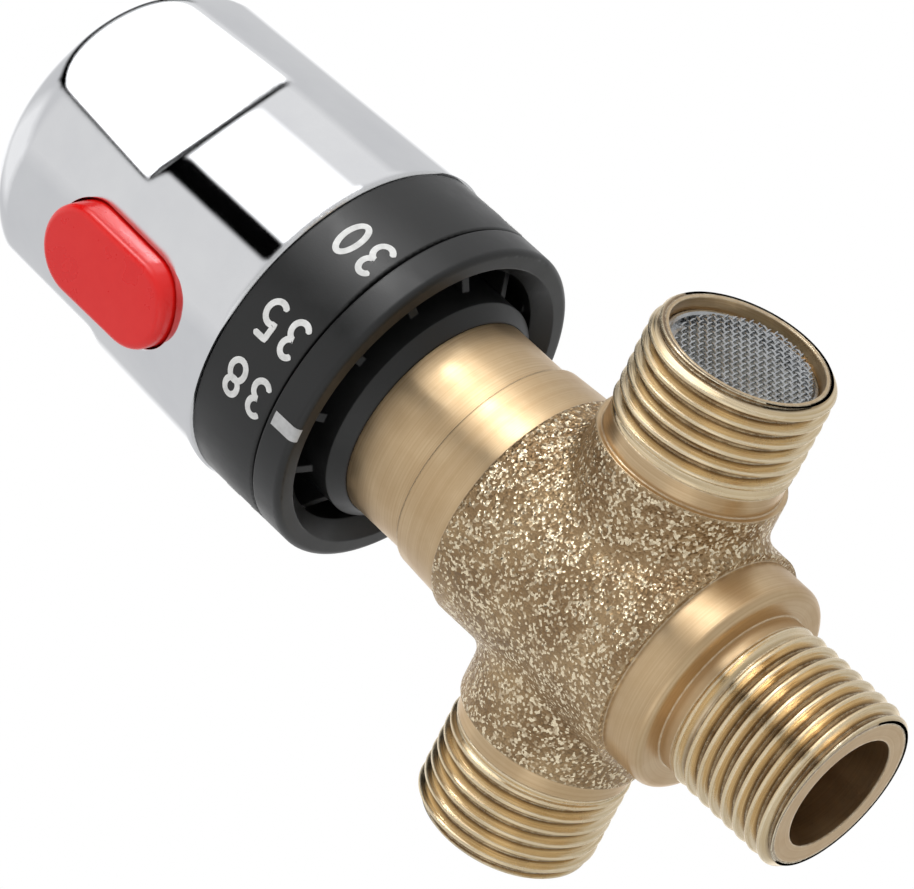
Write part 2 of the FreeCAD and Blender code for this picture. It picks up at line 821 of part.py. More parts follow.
def adjuster():
    """The hexagonal nut on the spindle's thread, with the overload spring's cup below it."""
    body = new_body("adjuster")
    blank = sketch_on(body, "XY_Plane", out=adjuster_foot)
    hexagon(blank, S.hex_across_flats)
    extrude(body, blank, (adjuster_top - adjuster_foot))
    cup_roof = adjuster_foot + S.adjuster_cup_depth
    thread_bore = S.spindle_thread_radius + S.adjuster_gap
    clip_root = S.adjuster_cup_bore + 0.5
    turn(body, [
        (0, adjuster_foot - 1),
        (S.adjuster_cup_bore, adjuster_foot - 1),
        (S.adjuster_cup_bore, adjuster_foot + S.cup_lip),
        (clip_root, adjuster_foot + S.cup_lip),
        (clip_root, cup_floor),
        (S.adjuster_cup_bore, cup_floor),
        (S.adjuster_cup_bore, cup_roof),
        (thread_bore, cup_roof),
        (thread_bore, adjuster_top + 1),
        (0, adjuster_top + 1),
    ], cut=True)
    node(body, "adjuster")
    turned("cup_clip", [
        (S.cup_radius - S.clip_lap, cup_floor - S.clip_wall),
        (clip_root - 0.1, cup_floor - S.clip_wall),
        (clip_root - 0.1, cup_floor),
        (S.cup_radius - S.clip_lap, cup_floor),
    ])
    turned("overload_cup", [
        (0, cup_floor),
        (S.cup_radius, cup_floor),
        (S.cup_radius, cup_floor + S.cup_wall),
        (S.cup_spigot_radius, cup_floor + S.cup_wall),
        (S.cup_spigot_radius, cup_floor + S.cup_wall + S.cup_spigot_length),
        (0, cup_floor + S.cup_wall + S.cup_spigot_length),
    ])
    coil_spring("overload_spring", S.overload_mean, S.overload_wire, cup_floor + S.cup_wall, cup_roof,
                S.overload_turns)
    pin_foot = shuttle_foot + S.pin_start
    turned("element_pin", [
        (0, pin_foot),
        (S.pin_radius, pin_foot),
        (S.pin_radius, cup_floor),
        (0, cup_floor),
    ])


def return_spring():
    """Pushes the shuttle up by its spokes, against the wax element's stroke."""
    coil_spring("return_spring", S.return_mean, S.return_wire, main_floor + S.sleeve_floor,
                shuttle_middle, S.return_turns)


# ---------------------------------------------------------------- spindle, washer and screw

def spindle():
    """Turns with the knob and screws the adjuster up and down; its flange bears on the roof."""
    body = new_body("spindle")
    flange_top = roof_foot - S.washer_wall
    groove_root = S.spindle_radius - S.seal_wire * 1.6
    points = [
        (0, spindle_foot),
        (S.spindle_thread_radius, spindle_foot),
        (S.spindle_thread_radius, flange_top - S.spindle_flange_wall),
        (S.spindle_flange_radius, flange_top - S.spindle_flange_wall),
        (S.spindle_flange_radius, flange_top),
        (S.spindle_radius, flange_top),
    ]
    for height in spindle_seal_heights():
        points += [
            (S.spindle_radius, height - S.seal_wire),
            (groove_root, height - S.seal_wire),
            (groove_root, height + S.seal_wire),
            (S.spindle_radius, height + S.seal_wire),
        ]
    points += [(S.spindle_radius, spindle_top), (0, spindle_top)]
    turn(body, points)
    turn(body, [
        (0, spindle_top - S.screw_length),
        (S.screw_radius + 0.05, spindle_top - S.screw_length),
        (S.screw_radius + 0.05, spindle_top + 1),
        (0, spindle_top + 1),
    ], cut=True)
    teeth(body, S.spindle_radius, S.spline_depth, S.spline_teeth,
          spindle_top - S.spline_length, S.spline_length, cut=True)
    with_button(body)
    node(body, "spindle")
    seal_wire = S.seal_wire * 0.8
    for name, height in zip(("lower", "upper"), spindle_seal_heights()):
        o_ring(f"spindle_seal_{name}", groove_root + seal_wire + S.seal_clearance, seal_wire, height)
    turned("thrust_washer", [
        (S.spindle_radius + 0.15, flange_top),
        (S.spindle_flange_radius, flange_top),
        (S.spindle_flange_radius, roof_foot),
        (S.spindle_radius + 0.15, roof_foot),
    ])


def spindle_seal_heights():
    return [roof_foot + 3, neck_top + 1]


def knob_screw():
    """The hexagon-socket screw that holds the carrier on the spindle."""
    body = new_body("knob_screw")
    seat = spindle_top + S.carrier_seat_wall
    turn(body, [
        (0, spindle_top - S.screw_length + 1),
        (S.screw_radius, spindle_top - S.screw_length + 1),
        (S.screw_radius, seat),
        (S.screw_head_radius, seat),
        (S.screw_head_radius, seat + S.screw_head_height),
        (0, seat + S.screw_head_height),
    ])
    socket = sketch_on(body, "XY_Plane", out=seat + S.screw_head_height)
    hexagon(socket, S.screw_socket * 1.6)
    extrude(body, socket, S.screw_head_height * 0.6, cut=True)
    node(body, "knob_screw")


# ---------------------------------------------------------------- stop ring

def stop_ring():
    """Black moulded ring, splined on the neck: ribbed underneath, with its stop lugs on top."""
    body = new_body("stop_ring")
    hub_bore = S.neck_radius + S.hub_gap
    hub = hub_bore + S.hub_wall
    inner = skirt_radius - S.skirt_wall
    rim_inner = S.ring_radius - S.rim_wall
    turn(body, [
        (hub_bore, hub_foot),
        (hub, hub_foot + S.hub_foot_slope),
        (hub, neck_top),
        (inner, neck_top),
        (inner, rim_top - S.rim_length / 2),
        (rim_inner, rim_foot),
        (S.ring_radius, rim_foot),
        (S.ring_radius, rim_top),
        (skirt_radius, rim_top),
        (skirt_radius, web_top),
        (S.nose_radius + 0.1, web_top),
        (S.nose_radius + 0.1, neck_top),
        (hub_bore, neck_top),
    ])
    soften(body, ring_edge(S.ring_radius, rim_foot), S.rim_round)
    rib = sketch_on(body, "XZ_Plane")
    rib_foot = rim_foot + S.rib_foot_setback
    outline(rib, [(hub - 0.3, rib_foot), (inner + 0.3, rib_foot + S.rim_length / 2),
                  (inner + 0.3, neck_top + 0.3), (hub - 0.3, neck_top + 0.3)])
    first = extrude(body, rib, S.rib_width, middle=True)
    around(body, first, S.ring_ribs)
    teeth(body, hub_bore, S.neck_tooth_depth, S.neck_teeth, neck_top - S.neck_tooth_length,
          S.neck_tooth_length, cut=False)
    pawl_half_angle = size(math.degrees(math.asin(S.pawl_width.value / 2 / pawl_outer.value)) + 1.0)
    stop_at = S.button_azimuth + pawl_half_angle
    lugs = ((stop_lug_inner, stop_at), (end_lug_inner, stop_at + S.hot_override_angle),
            (end_lug_inner, S.button_azimuth - pawl_half_angle - S.cold_turn_angle - S.lug_angle))
    for inner_radius, start in lugs:
        lug(body, inner_radius, start)
    return node(body, "stop_ring")


def lug(body, inner_radius, start):
    """A block of a ring sector standing on the web."""
    sketch = sketch_on(body, "XY_Plane", out=web_top - 0.3, spin=start, about=Vector(0, 0, 1))
    sweep = math.radians(S.lug_angle.value)
    points = []
    for radius, turn_angle in ((inner_radius, 0), (lug_outer, 0),
                               (lug_outer, sweep), (inner_radius, sweep)):
        points.append((radius * math.cos(turn_angle), radius * math.sin(turn_angle)))
    outline(sketch, [(x, 0 if abs(y.value) < 1e-9 else y) for x, y in points])
    extrude(body, sketch, lug_height + 0.3)


def ring_clip():
    """The open retaining ring that holds the stop ring down on the neck."""
    body = new_body("ring_clip")
    root = S.nose_radius - S.ring_clip_depth + S.ring_clip_gap
    turn(body, [
        (root, web_top),
        (S.ring_clip_radius, web_top),
        (S.ring_clip_radius, web_top + S.ring_clip_wall),
        (root, web_top + S.ring_clip_wall),
    ])
    gap = sketch_on(body, "XY_Plane", out=web_top - 1)
    half = S.ring_clip_radius * 0.22
    outline(gap, [(0, -half), (S.ring_clip_radius + 1, -half), (S.ring_clip_radius + 1, half), (0, half)])
    extrude(body, gap, S.ring_clip_wall + 2, cut=True, back=True)
    node(body, "ring_clip")


# ---------------------------------------------------------------- knob

def with_button(thing):
    """Turns a piece that is drawn with the button on +X to the button's real direction."""
    thing.Placement = Placement(Vector(), Rotation(Vector(0, 0, 1), S.button_azimuth.value))
    bind(thing, "Placement.Rotation.Angle", S.button_azimuth)
    return thing


def pawl_window(body, low, length, outside):
    """The radial slot that the button's pawl passes through, with room for its travel."""
    sketch = sketch_on(body, "XY_Plane", out=low)
    half = S.pawl_width / 2 + S.pawl_clearance
    inside = pawl_outer - S.pawl_wall - S.button_travel - S.pawl_clearance
    outline(sketch, [(inside, -half), (outside, -half), (outside, half), (inside, half)])
    extrude(body, sketch, length, cut=True, back=True)


def scale_ring():
    """Black ring that carries the temperature scale and turns with the knob."""
    body = new_body("scale_ring")
    spigot = shell_foot_radius - S.shell_wall - S.spigot_gap
    turn(body, [
        (S.ring_radius - S.scale_wall, scale_foot),
        (S.ring_radius, scale_foot),
        (S.ring_radius, scale_top),
        (spigot, scale_top),
        (spigot - S.spigot_length * shell_drop, scale_top + S.spigot_length),
        (spigot - S.spigot_wall, scale_top + S.spigot_length),
        (spigot - S.spigot_wall, scale_top),
        (scale_flange_bore, scale_top),
        (scale_flange_bore, scale_flange_foot),
        (S.ring_radius - S.scale_wall, scale_flange_foot),
    ])
    soften(body, ring_edge(S.ring_radius, scale_foot), S.scale_round)
    soften(body, ring_edge(S.ring_radius, scale_top), S.scale_round)
    pawl_window(body, scale_flange_foot - 1, S.scale_flange + 2, pawl_outer + S.pawl_clearance)
    with_button(body)
    return node(body, "scale_ring")


def knob_carrier():
    """Moulded insert: splined hub, web on the scale ring's flange, two arms and the spring pad."""
    body = new_body("knob_carrier")
    bore = S.spindle_radius + S.spindle_gap
    seat = spindle_top
    web_low = scale_top
    web_reach = shell_foot_radius - S.shell_wall - S.spigot_gap - S.spigot_wall - S.carrier_gap
    turn(body, [
        (bore, carrier_foot),
        (S.carrier_hub_radius, carrier_foot),
        (S.carrier_hub_radius, web_low),
        (web_reach, web_low),
        (web_reach, web_low + S.carrier_web),
        (S.carrier_hub_radius, web_low + S.carrier_web),
        (S.carrier_hub_radius, carrier_top),
        (S.screw_head_radius + 0.4, carrier_top),
        (S.screw_head_radius + 0.4, seat + S.carrier_seat_wall),
        (S.screw_radius + 0.2, seat + S.carrier_seat_wall),
        (S.screw_radius + 0.2, seat),
        (bore, seat),
    ])
    arm = sketch_on(body, "XZ_Plane", spin=120)
    arm_reach = web_reach - S.carrier_arm_gap
    hub_inside = S.carrier_hub_radius - 0.6
    outline(arm, [(arm_reach, web_low + 0.5), (hub_inside, web_low + 0.5),
                  (hub_inside, carrier_top), (arm_reach, web_low + S.carrier_web + S.carrier_arm_shoulder)])
    first = extrude(body, arm, S.carrier_arm_width, middle=True)
    around(body, first, 2, angle=120)
    pad = sketch_on(body, "XY_Plane", out=button_height - S.spring_pad_width / 2)
    half = S.spring_pad_width / 2
    inside = S.carrier_hub_radius - 1.6
    outline(pad, [(inside, -half), (S.spring_pad_reach, -half), (S.spring_pad_reach, half), (inside, half)])
    extrude(body, pad, S.spring_pad_width)
    teeth(body, bore, S.spline_depth, S.spline_teeth, seat - S.spline_length, S.spline_length, cut=False)
    pawl_window(body, web_low - 1, S.carrier_web + 2, web_reach + 1)
    with_button(body)
    return node(body, "knob_carrier")


def knob_form(name, inset):
    """The knob's round form with its three flats, drawn inside the chrome surface by `inset`."""
    body = new_body(name)
    fall = S.flat_foot_fall
    turn(body, [
        (0, shell_top - inset),
        (shell_top_radius - inset, shell_edge - inset),
        (shell_foot_radius - inset + inset * shell_drop, scale_top - inset),
        (0, scale_top - inset),
    ], crown=0)
    soften(body, ring_edge(shell_top_radius - inset, shell_edge - inset), S.dome_round - inset)
    flat = flat_reach - inset
    foot = flat_foot - inset * ((fall * fall + 1).root() - fall)
    beyond = shell_foot_radius + 2
    cut = sketch_on(body, "XZ_Plane")
    outline(cut, [(-flat, foot), (-flat, shell_top + 2), (-beyond, shell_top + 2),
                  (-beyond, foot - (beyond - flat) * fall)])
    pocket = extrude(body, cut, shell_foot_radius * 2, cut=True, middle=True)
    around(body, pocket, 3)
    return body


def flat_border(edge):
    """The curved borders of the grip flats, all of them above the button's middle and off the top."""
    box = edge.BoundBox
    return (not isinstance(edge.Curve, (Part.Circle, Part.Line)) and box.ZMin > button_height.value
            and edge.Length < flat_reach.value * 1.3 and abs(box.YMax - box.YMin) > 0.01
            and not is_dome_seam(edge))


def is_dome_seam(edge):
    """Edges that only part the dome's round from the taper or the crown."""
    return all(abs(v.X ** 2 + v.Y ** 2 - edge.Vertexes[0].X ** 2 - edge.Vertexes[0].Y ** 2) < 1e-6
               for v in edge.Vertexes) and edge.BoundBox.ZLength < 0.01


def knob_shell():
    """Chromed shell: a tapered, domed cap of even wall with three grip flats and the button's window."""
    outer = knob_form("knob_outer", size(0))
    soften(outer, flat_border, S.flat_round)
    inner = knob_form("knob_inner", S.shell_wall)
    window = stadium("button_window", S.button_length + S.button_gap * 2,
                     S.button_width + S.button_gap * 2, S.spring_pad_reach, button_face + 2)
    cavity = doc.addObject("Part::Fuse", "knob_cavity")
    cavity.Base = inner
    cavity.Tool = window
    shell = doc.addObject("Part::Cut", "knob_shell")
    shell.Base = outer
    shell.Tool = cavity
    with_button(shell)
    doc.recompute()
    return node(shell, "knob_shell")


def stadium(name, length, width, near, far):
    """A round-ended block along the button's direction."""
    body = new_body(name)
    sketch = sketch_on(body, "YZ_Plane", out=near)
    slot(sketch, length, width, button_height)
    extrude(body, sketch, far - near)
    return body


def stop_button():
    """The red safety button: head, retaining flange behind the shell and the pawl below it."""
    body = stadium("stop_button", S.button_length, S.button_width, button_flange - 0.5,
                   button_face)
    face = button_face.value

    def at_face(edge):
        box = edge.BoundBox
        return abs(box.XMin - face) < 1e-4 and abs(box.XMax - face) < 1e-4
    soften(body, at_face, S.button_round)
    lip = S.button_flange_lip * 2
    back = button_flange - S.button_flange_wall
    flange = sketch_on(body, "YZ_Plane", out=back)
    slot(flange, S.button_length + lip, S.button_width + lip, button_height)
    extrude(body, flange, S.button_flange_wall)
    pawl = sketch_on(body, "XZ_Plane")
    top = button_height - S.button_length / 2 + 1
    foot = web_top + S.pawl_clearance
    back_face = pawl_outer - S.pawl_wall
    outline(pawl, [(back_face, foot), (pawl_outer, foot), (pawl_outer, top), (back_face, top)])
    extrude(body, pawl, S.pawl_width, middle=True)
    with_button(body)
    return node(body, "stop_button")


def button_spring():
    """The small coil behind the button, on the button's own axis."""
    spring = coil_spring("button_spring", S.check_mean * 0.75, S.check_wire, S.spring_pad_reach,
                         button_flange - S.button_flange_wall, S.check_turns)
    turn_down = Rotation(Vector(0, 1, 0), 90)
    to_front = Rotation(Vector(0, 0, 1), S.button_azimuth.value)
    spring.Placement = Placement(Vector(0, 0, button_height.value), to_front * turn_down)
    bind(spring, "Placement.Base.z", button_height)


# ---------------------------------------------------------------- inlets: check valves and filters

def inlet_set(prefix, side):
    """Check valve and filter of one inlet, drawn along Z as reach from the knob's axis."""
    for piece in (check_housing(prefix), check_poppet(prefix), check_seal(prefix), check_ring(prefix),
                  check_spring(prefix), filter_frame(prefix), filter_mesh(prefix)):
        face_outwards(piece, side, inlet_height)


def check_housing(prefix):
    """Moulded cartridge with the poppet's seat and a three-armed guide."""
    body = new_body(f"{prefix}_check_housing")
    outer = S.inlet_bore - S.check_housing_gap
    low = inlet_floor
    seat = check_seat
    groove = housing_top - 1.8
    root = outer - S.seal_wire * 1.6
    turn(body, [
        (S.check_bore, low),
        (outer, low),
        (outer, groove - S.seal_wire),
        (root, groove - S.seal_wire),
        (root, groove + S.seal_wire),
        (outer, groove + S.seal_wire),
        (outer, housing_top),
        (S.check_bore - 0.2, housing_top),
        (S.check_bore - 0.6, seat + S.check_seat_wall),
        (S.check_seat_bore, seat + S.check_seat_wall),
        (S.check_seat_bore, seat),
        (S.check_bore, seat),
    ])
    arm = sketch_on(body, "XY_Plane", out=low)
    half = S.check_arm_width / 2
    reach = S.check_bore + 0.3
    outline(arm, [(0, -half), (reach, -half), (reach, half), (0, half)])
    first = extrude(body, arm, S.check_spider_wall)
    around(body, first, 3)
    turn(body, [(0, low), (S.check_hub_radius, low), (S.check_hub_radius, low + S.check_spider_wall),
                (0, low + S.check_spider_wall)])
    turn(body, [(0, low - 1), (S.poppet_stem + S.stem_gap, low - 1),
                (S.poppet_stem + S.stem_gap, low + 2), (0, low + 2)], cut=True)
    return node(body, f"{prefix}_check_housing")


def check_poppet(prefix):
    top = check_seat - S.poppet_seal_wall
    return turned(f"{prefix}_check_poppet", [
        (0, inlet_floor),
        (S.poppet_stem, inlet_floor),
        (S.poppet_stem, top - S.poppet_wall),
        (S.poppet_radius, top - S.poppet_wall),
        (S.poppet_radius, top),
        (S.check_seat_bore - S.poppet_nose_step, top),
        (S.check_seat_bore - S.poppet_nose, top + S.poppet_nose),
        (0, top + S.poppet_nose + S.poppet_nose_crown),
    ])


def check_seal(prefix):
    top = check_seat
    inner = S.check_seat_bore - 1.3
    return turned(f"{prefix}_check_seal", [
        (inner, top - S.poppet_seal_wall),
        (S.poppet_radius, top - S.poppet_seal_wall),
        (S.poppet_radius, top),
        (inner, top),
    ])


def check_ring(prefix):
    wire = S.seal_wire * 0.8
    root = S.inlet_bore - S.check_housing_gap - S.seal_wire * 1.6
    ring = doc.addObject("Part::Feature", f"{prefix}_check_ring")
    reach = housing_top - 1.8
    centre = Vector(0, 0, reach.value)
    ring.Shape = Part.makeTorus((root + wire + S.seal_clearance).value, wire.value, centre)
    return node(ring, f"{prefix}_check_ring")


def check_spring(prefix):
    return coil_spring(f"{prefix}_check_spring", S.check_mean, S.check_wire,
                       inlet_floor + S.check_spider_wall,
                       check_seat - S.poppet_seal_wall - S.poppet_wall, S.check_turns)


def filter_frame(prefix):
    outer = S.inlet_bore - S.filter_gap
    return turned(f"{prefix}_filter_frame", [
        (S.filter_ledge_bore, housing_top),
        (outer, housing_top),
        (outer, housing_top + S.filter_length - 0.25),
        (outer - 0.25, housing_top + S.filter_length),
        (S.filter_bore + 0.25, housing_top + S.filter_length),
        (S.filter_bore, housing_top + S.filter_length - 0.25),
        (S.filter_bore, housing_top + S.filter_ledge),
        (S.filter_ledge_bore, housing_top + S.filter_ledge),
    ])


def filter_mesh(prefix):
    """The sieve: a disc with a square grid of holes, cut row by row to the round border."""
    low = housing_top + S.filter_ledge
    radius = (S.filter_bore - S.mesh_gap).value
    pitch = S.mesh_pitch.value
    hole = S.mesh_hole.value
    disc = Part.makeCylinder(radius, S.mesh_wall.value, Vector(0, 0, low.value))
    reach = radius - S.mesh_border.value
    steps = range(-int(reach / pitch), int(reach / pitch) + 1)
    holes = []
    for column in steps:
        for line in steps:
            x, y = column * pitch, line * pitch
            if math.hypot(abs(x) + hole / 2, abs(y) + hole / 2) < reach:
                corner = Vector(x - hole / 2, y - hole / 2, low.value - 1)
                holes.append(Part.makeBox(hole, hole, S.mesh_wall.value + 2, corner))
    mesh = doc.addObject("Part::Feature", f"{prefix}_filter_mesh")
    mesh.Shape = disc.cut(Part.makeCompound(holes))
    return node(mesh, f"{prefix}_filter_mesh")


# ---------------------------------------------------------------- build and write

valve_body()
bonnet()
cartridge_sleeve()
cartridge_seals()
seat_ring()
shuttle()
wax_element()
adjuster()
return_spring()
spindle()
knob_screw()
stop_ring()
ring_clip()
scale_ring()
knob_carrier()
knob_shell()
stop_button()
button_spring()
inlet_set("cold", 1)
inlet_set("hot", -1)
doc.recompute()

for thing in doc.Objects:
    if "Invalid" in thing.State or "Error" in thing.State:
        raise RuntimeError(f"{thing.Label}: {thing.State}")
for thing in NODES:
    if thing.Shape.isNull() or not thing.Shape.isValid() or not thing.Shape.Solids:
        raise RuntimeError(f"{thing.Label} has no sound solid")

os.makedirs("parts", exist_ok=True)
for thing in NODES:
    thing.Shape.exportStep(f"parts/{thing.Label}.step")
print(len(NODES), "pieces written")
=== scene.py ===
"""Looks of a temperature-controlled mixing valve: brass tee body, black rings, chromed knob."""

import json
import math

import bmesh
import bpy
from mathutils import Matrix, Vector


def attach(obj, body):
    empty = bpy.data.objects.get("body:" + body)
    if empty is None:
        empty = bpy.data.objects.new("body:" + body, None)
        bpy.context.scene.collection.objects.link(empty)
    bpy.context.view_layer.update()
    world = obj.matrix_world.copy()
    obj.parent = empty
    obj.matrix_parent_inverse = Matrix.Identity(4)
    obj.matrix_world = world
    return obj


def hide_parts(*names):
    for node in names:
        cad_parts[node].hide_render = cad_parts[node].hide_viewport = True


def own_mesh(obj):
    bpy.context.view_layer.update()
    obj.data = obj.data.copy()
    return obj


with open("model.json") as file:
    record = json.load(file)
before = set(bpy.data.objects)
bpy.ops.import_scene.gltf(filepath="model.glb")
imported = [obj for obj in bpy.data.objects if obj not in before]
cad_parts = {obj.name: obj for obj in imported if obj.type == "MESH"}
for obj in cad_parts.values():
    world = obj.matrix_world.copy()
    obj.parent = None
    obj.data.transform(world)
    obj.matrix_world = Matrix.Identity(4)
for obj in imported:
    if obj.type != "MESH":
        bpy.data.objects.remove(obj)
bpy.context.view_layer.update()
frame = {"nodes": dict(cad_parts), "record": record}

MM = 0.001

# ---------------------------------------------------------------- sizes shared with the solids
THREAD_CREST = 10.4775 * MM
THREAD_PITCH = 1.814 * MM
THREAD_DEPTH = 1.162 * MM
THREAD_CORE = 9.2 * MM              # what is left of the solid inside a thread sleeve
RELIEF_RADIUS = 10.2 * MM
OUTLET_THREAD = 14.6 * MM
INLET_END = 32.5 * MM
INLET_THREAD_FOOT = 20.8 * MM
INLET_HEIGHT = 33.4 * MM
INLET_BORE = 9 * MM
INLET_BORE_FOOT = 10 * MM
BOSS_REACH = 18.4 * MM
COLLAR_TOP = 21.6 * MM
BARREL_TOP = 47.8 * MM
BARREL_BORE = 12.4 * MM
RING_RADIUS = 20.8 * MM
FLAT_REACH = 17.7 * MM
FLAT_BEARINGS = (-33, 87, 207)
SHELL_FOOT_RADIUS = 21.06 * MM
SCALE_TOP = 79.7 * MM
SHELL_DROP = 1.56 / 39.7
RIM_FOOT = 65.4 * MM
MARK_TOP = 68.9 * MM
MARK_MIDDLE = 67.5 * MM
MESH_RADIUS = 7.95 * MM
MESH_REACH = 30.2 * MM
MESH_PITCH = 0.64 * MM

# ---------------------------------------------------------------- sizes of the finish
SMOOTH = math.radians(32)           # edges that turn further than this stay sharp
PLATED_SMOOTH = math.radians(24)
GROWN_SMOOTH = math.radians(42)
STAINS = 160.0                      # patches per metre of each kind of wear
HANDLING = 260.0
SCUFFS = 1400.0
MOULD_GRAIN = 5200.0
SHARP_EDGE = 0.1 * MM
SOFT_EDGE = 1.6 * MM
PAINT_WALL = 0.05 * MM


# ---------------------------------------------------------------- shorthands for node trees

class Tree:
    """Adds nodes to a tree and joins them up; a number or a socket may feed any input."""

    def __init__(self, tree):
        self.tree = tree

    def add(self, kind, inputs=None, **settings):
        """A new node, with its settings made and its inputs fed."""
        made = self.tree.nodes.new(kind)
        for name, value in settings.items():
            setattr(made, name, value)
        for key, value in (inputs or {}).items():
            self.feed(made.inputs[key], value)
        return made

    def feed(self, socket, value):
        if isinstance(value, bpy.types.NodeSocket):
            self.tree.links.new(value, socket)
        else:
            socket.default_value = value

    def math(self, operation, first, second=0.0, third=0.0):
        made = self.add("ShaderNodeMath", {0: first, 1: second, 2: third}, operation=operation)
        return made.outputs[0]

    def vector(self, operation, first, second=(0, 0, 0), out="Vector"):
        made = self.add("ShaderNodeVectorMath", {0: first, 1: second}, operation=operation)
        return made.outputs[out]

    def between(self, value, low, high, to_low=0.0, to_high=1.0):
        """Maps value from low..high to to_low..to_high, and holds it at the ends."""
        made = self.add("ShaderNodeMapRange", {0: value, 1: low, 2: high, 3: to_low, 4: to_high})
        return made.outputs[0]

    def scaled(self, vector, factor):
        made = self.add("ShaderNodeVectorMath", {0: vector, "Scale": factor}, operation="SCALE")
        return made.outputs["Vector"]

    def noise(self, where, scale, detail=2.0, rough=0.5):
        made = self.add("ShaderNodeTexNoise", {"Vector": where, "Scale": scale, "Detail": detail,
                                               "Roughness": rough})
        return made.outputs["Fac"]

    def blend(self, share, first, second):
        made = self.add("ShaderNodeMix", {0: share, 6: first, 7: second}, data_type="RGBA")
        return made.outputs[2]


def new_group(name, kind, inputs, outputs):
    """A node group with named inputs (name, socket type, value) and outputs (name, socket type)."""
    group = bpy.data.node_groups.new(name, kind)
    for label, socket_type, value in inputs:
        socket = group.interface.new_socket(label, in_out="INPUT", socket_type=socket_type)
        if value is not None:
            socket.default_value = value
    for label, socket_type in outputs:
        group.interface.new_socket(label, in_out="OUTPUT", socket_type=socket_type)
    tree = Tree(group)
    return tree, tree.add("NodeGroupInput"), tree.add("NodeGroupOutput")


def shade(red, green, blue):
    """A colour given in the 0..255 steps of a paint card, as the linear colour that shaders use."""
    def linear(step):
        part = step / 255
        return part / 12.92 if part <= 0.04045 else ((part + 0.055) / 1.055) ** 2.4
    return (linear(red), linear(green), linear(blue), 1.0)


# ---------------------------------------------------------------- shared surface effects

def sand_grain_group():
    """Grains of a sand-cast and shot-blasted skin: each is a tiny facet that leans its own way."""
    tree, given, gives = new_group(
        "sand_grain", "ShaderNodeTree",
        [("Grain Size", "NodeSocketFloat", 0.0004), ("Lean", "NodeSocketFloat", 0.8),
         ("Normal", "NodeSocketVector", None)],
        [("Height", "NodeSocketFloat"), ("Glint Speck", "NodeSocketFloat"), ("Stain", "NodeSocketFloat"),
         ("Facet Normal", "NodeSocketVector")])
    where = tree.add("ShaderNodeTexCoord").outputs["Object"]
    scale = tree.math("DIVIDE", 1.0, given.outputs["Grain Size"])
    grains = tree.add("ShaderNodeTexVoronoi", {"Vector": where, "Scale": scale, "Randomness": 1.0})
    fine = tree.noise(where, scale, 3.0, 0.65)
    lumps = tree.noise(where, tree.math("MULTIPLY", scale, 0.28), 2.0)
    height = tree.math("ADD", tree.math("MULTIPLY", fine, 0.6),
                       tree.math("MULTIPLY", grains.outputs["Distance"], 0.5))
    tree.feed(gives.inputs["Height"], tree.math("ADD", height, tree.math("MULTIPLY", lumps, 0.7)))
    own = tree.vector("SUBTRACT", grains.outputs["Color"], (0.5, 0.5, 0.5))
    lean = tree.scaled(own, given.outputs["Lean"])
    facet = tree.vector("ADD", given.outputs["Normal"], lean)
    tree.feed(gives.inputs["Facet Normal"], tree.vector("NORMALIZE", facet))
    lot = tree.add("ShaderNodeSeparateXYZ", {0: grains.outputs["Color"]}).outputs["X"]
    # grains picked at random whose colour is painted near white: partly paler metal, partly a painted
    # glint
    tree.feed(gives.inputs["Glint Speck"], tree.between(lot, 0.62, 0.9))
    tree.feed(gives.inputs["Stain"], tree.between(tree.noise(where, STAINS, 3.0), 0.36, 0.64))
    return tree.tree


def turned_lines_group():
    """Fine lines that a lathe tool leaves round an axis, on cylinders and on end faces alike."""
    tree, given, gives = new_group(
        "turned_lines", "ShaderNodeTree",
        [("Axis", "NodeSocketVector", (0, 0, 1)), ("Centre", "NodeSocketVector", (0, 0, 0)),
         ("Spacing", "NodeSocketFloat", 0.0002)],
        [("Line", "NodeSocketFloat"), ("Patch", "NodeSocketFloat"), ("Away", "NodeSocketFloat")])
    where = tree.add("ShaderNodeTexCoord").outputs["Object"]
    arm = tree.vector("SUBTRACT", where, given.outputs["Centre"])
    along = tree.vector("DOT_PRODUCT", arm, given.outputs["Axis"], out="Value")
    reach = tree.scaled(given.outputs["Axis"], along)
    away = tree.vector("LENGTH", tree.vector("SUBTRACT", arm, reach), out="Value")
    both = tree.add("ShaderNodeCombineXYZ", {"X": along, "Y": away}).outputs[0]
    scale = tree.math("DIVIDE", 1.0, given.outputs["Spacing"])
    tree.feed(gives.inputs["Line"], tree.noise(both, scale, 2.0, 0.7))
    tree.feed(gives.inputs["Patch"], tree.between(tree.noise(where, HANDLING, 3.0), 0.35, 0.65))
    tree.feed(gives.inputs["Away"], away)
    return tree.tree


def edge_wear_group():
    """How much a spot belongs to an outer edge, broken up by a little noise."""
    tree, given, gives = new_group(
        "edge_wear", "ShaderNodeTree",
        [("Width", "NodeSocketFloat", 0.0003)],
        [("Mask", "NodeSocketFloat"), ("Round Normal", "NodeSocketVector")])
    bevel = tree.add("ShaderNodeBevel", {"Radius": given.outputs["Width"]}, samples=4)
    true_normal = tree.add("ShaderNodeNewGeometry").outputs["Normal"]
    same = tree.vector("DOT_PRODUCT", bevel.outputs[0], true_normal, out="Value")
    where = tree.add("ShaderNodeTexCoord").outputs["Object"]
    broken = tree.between(tree.noise(where, SCUFFS, 3.0), 0.35, 0.6, 0.35, 1.0)
    tree.feed(gives.inputs["Mask"], tree.math("MULTIPLY", tree.between(same, 0.985, 0.88), broken))
    tree.feed(gives.inputs["Round Normal"], bevel.outputs[0])
    return tree.tree


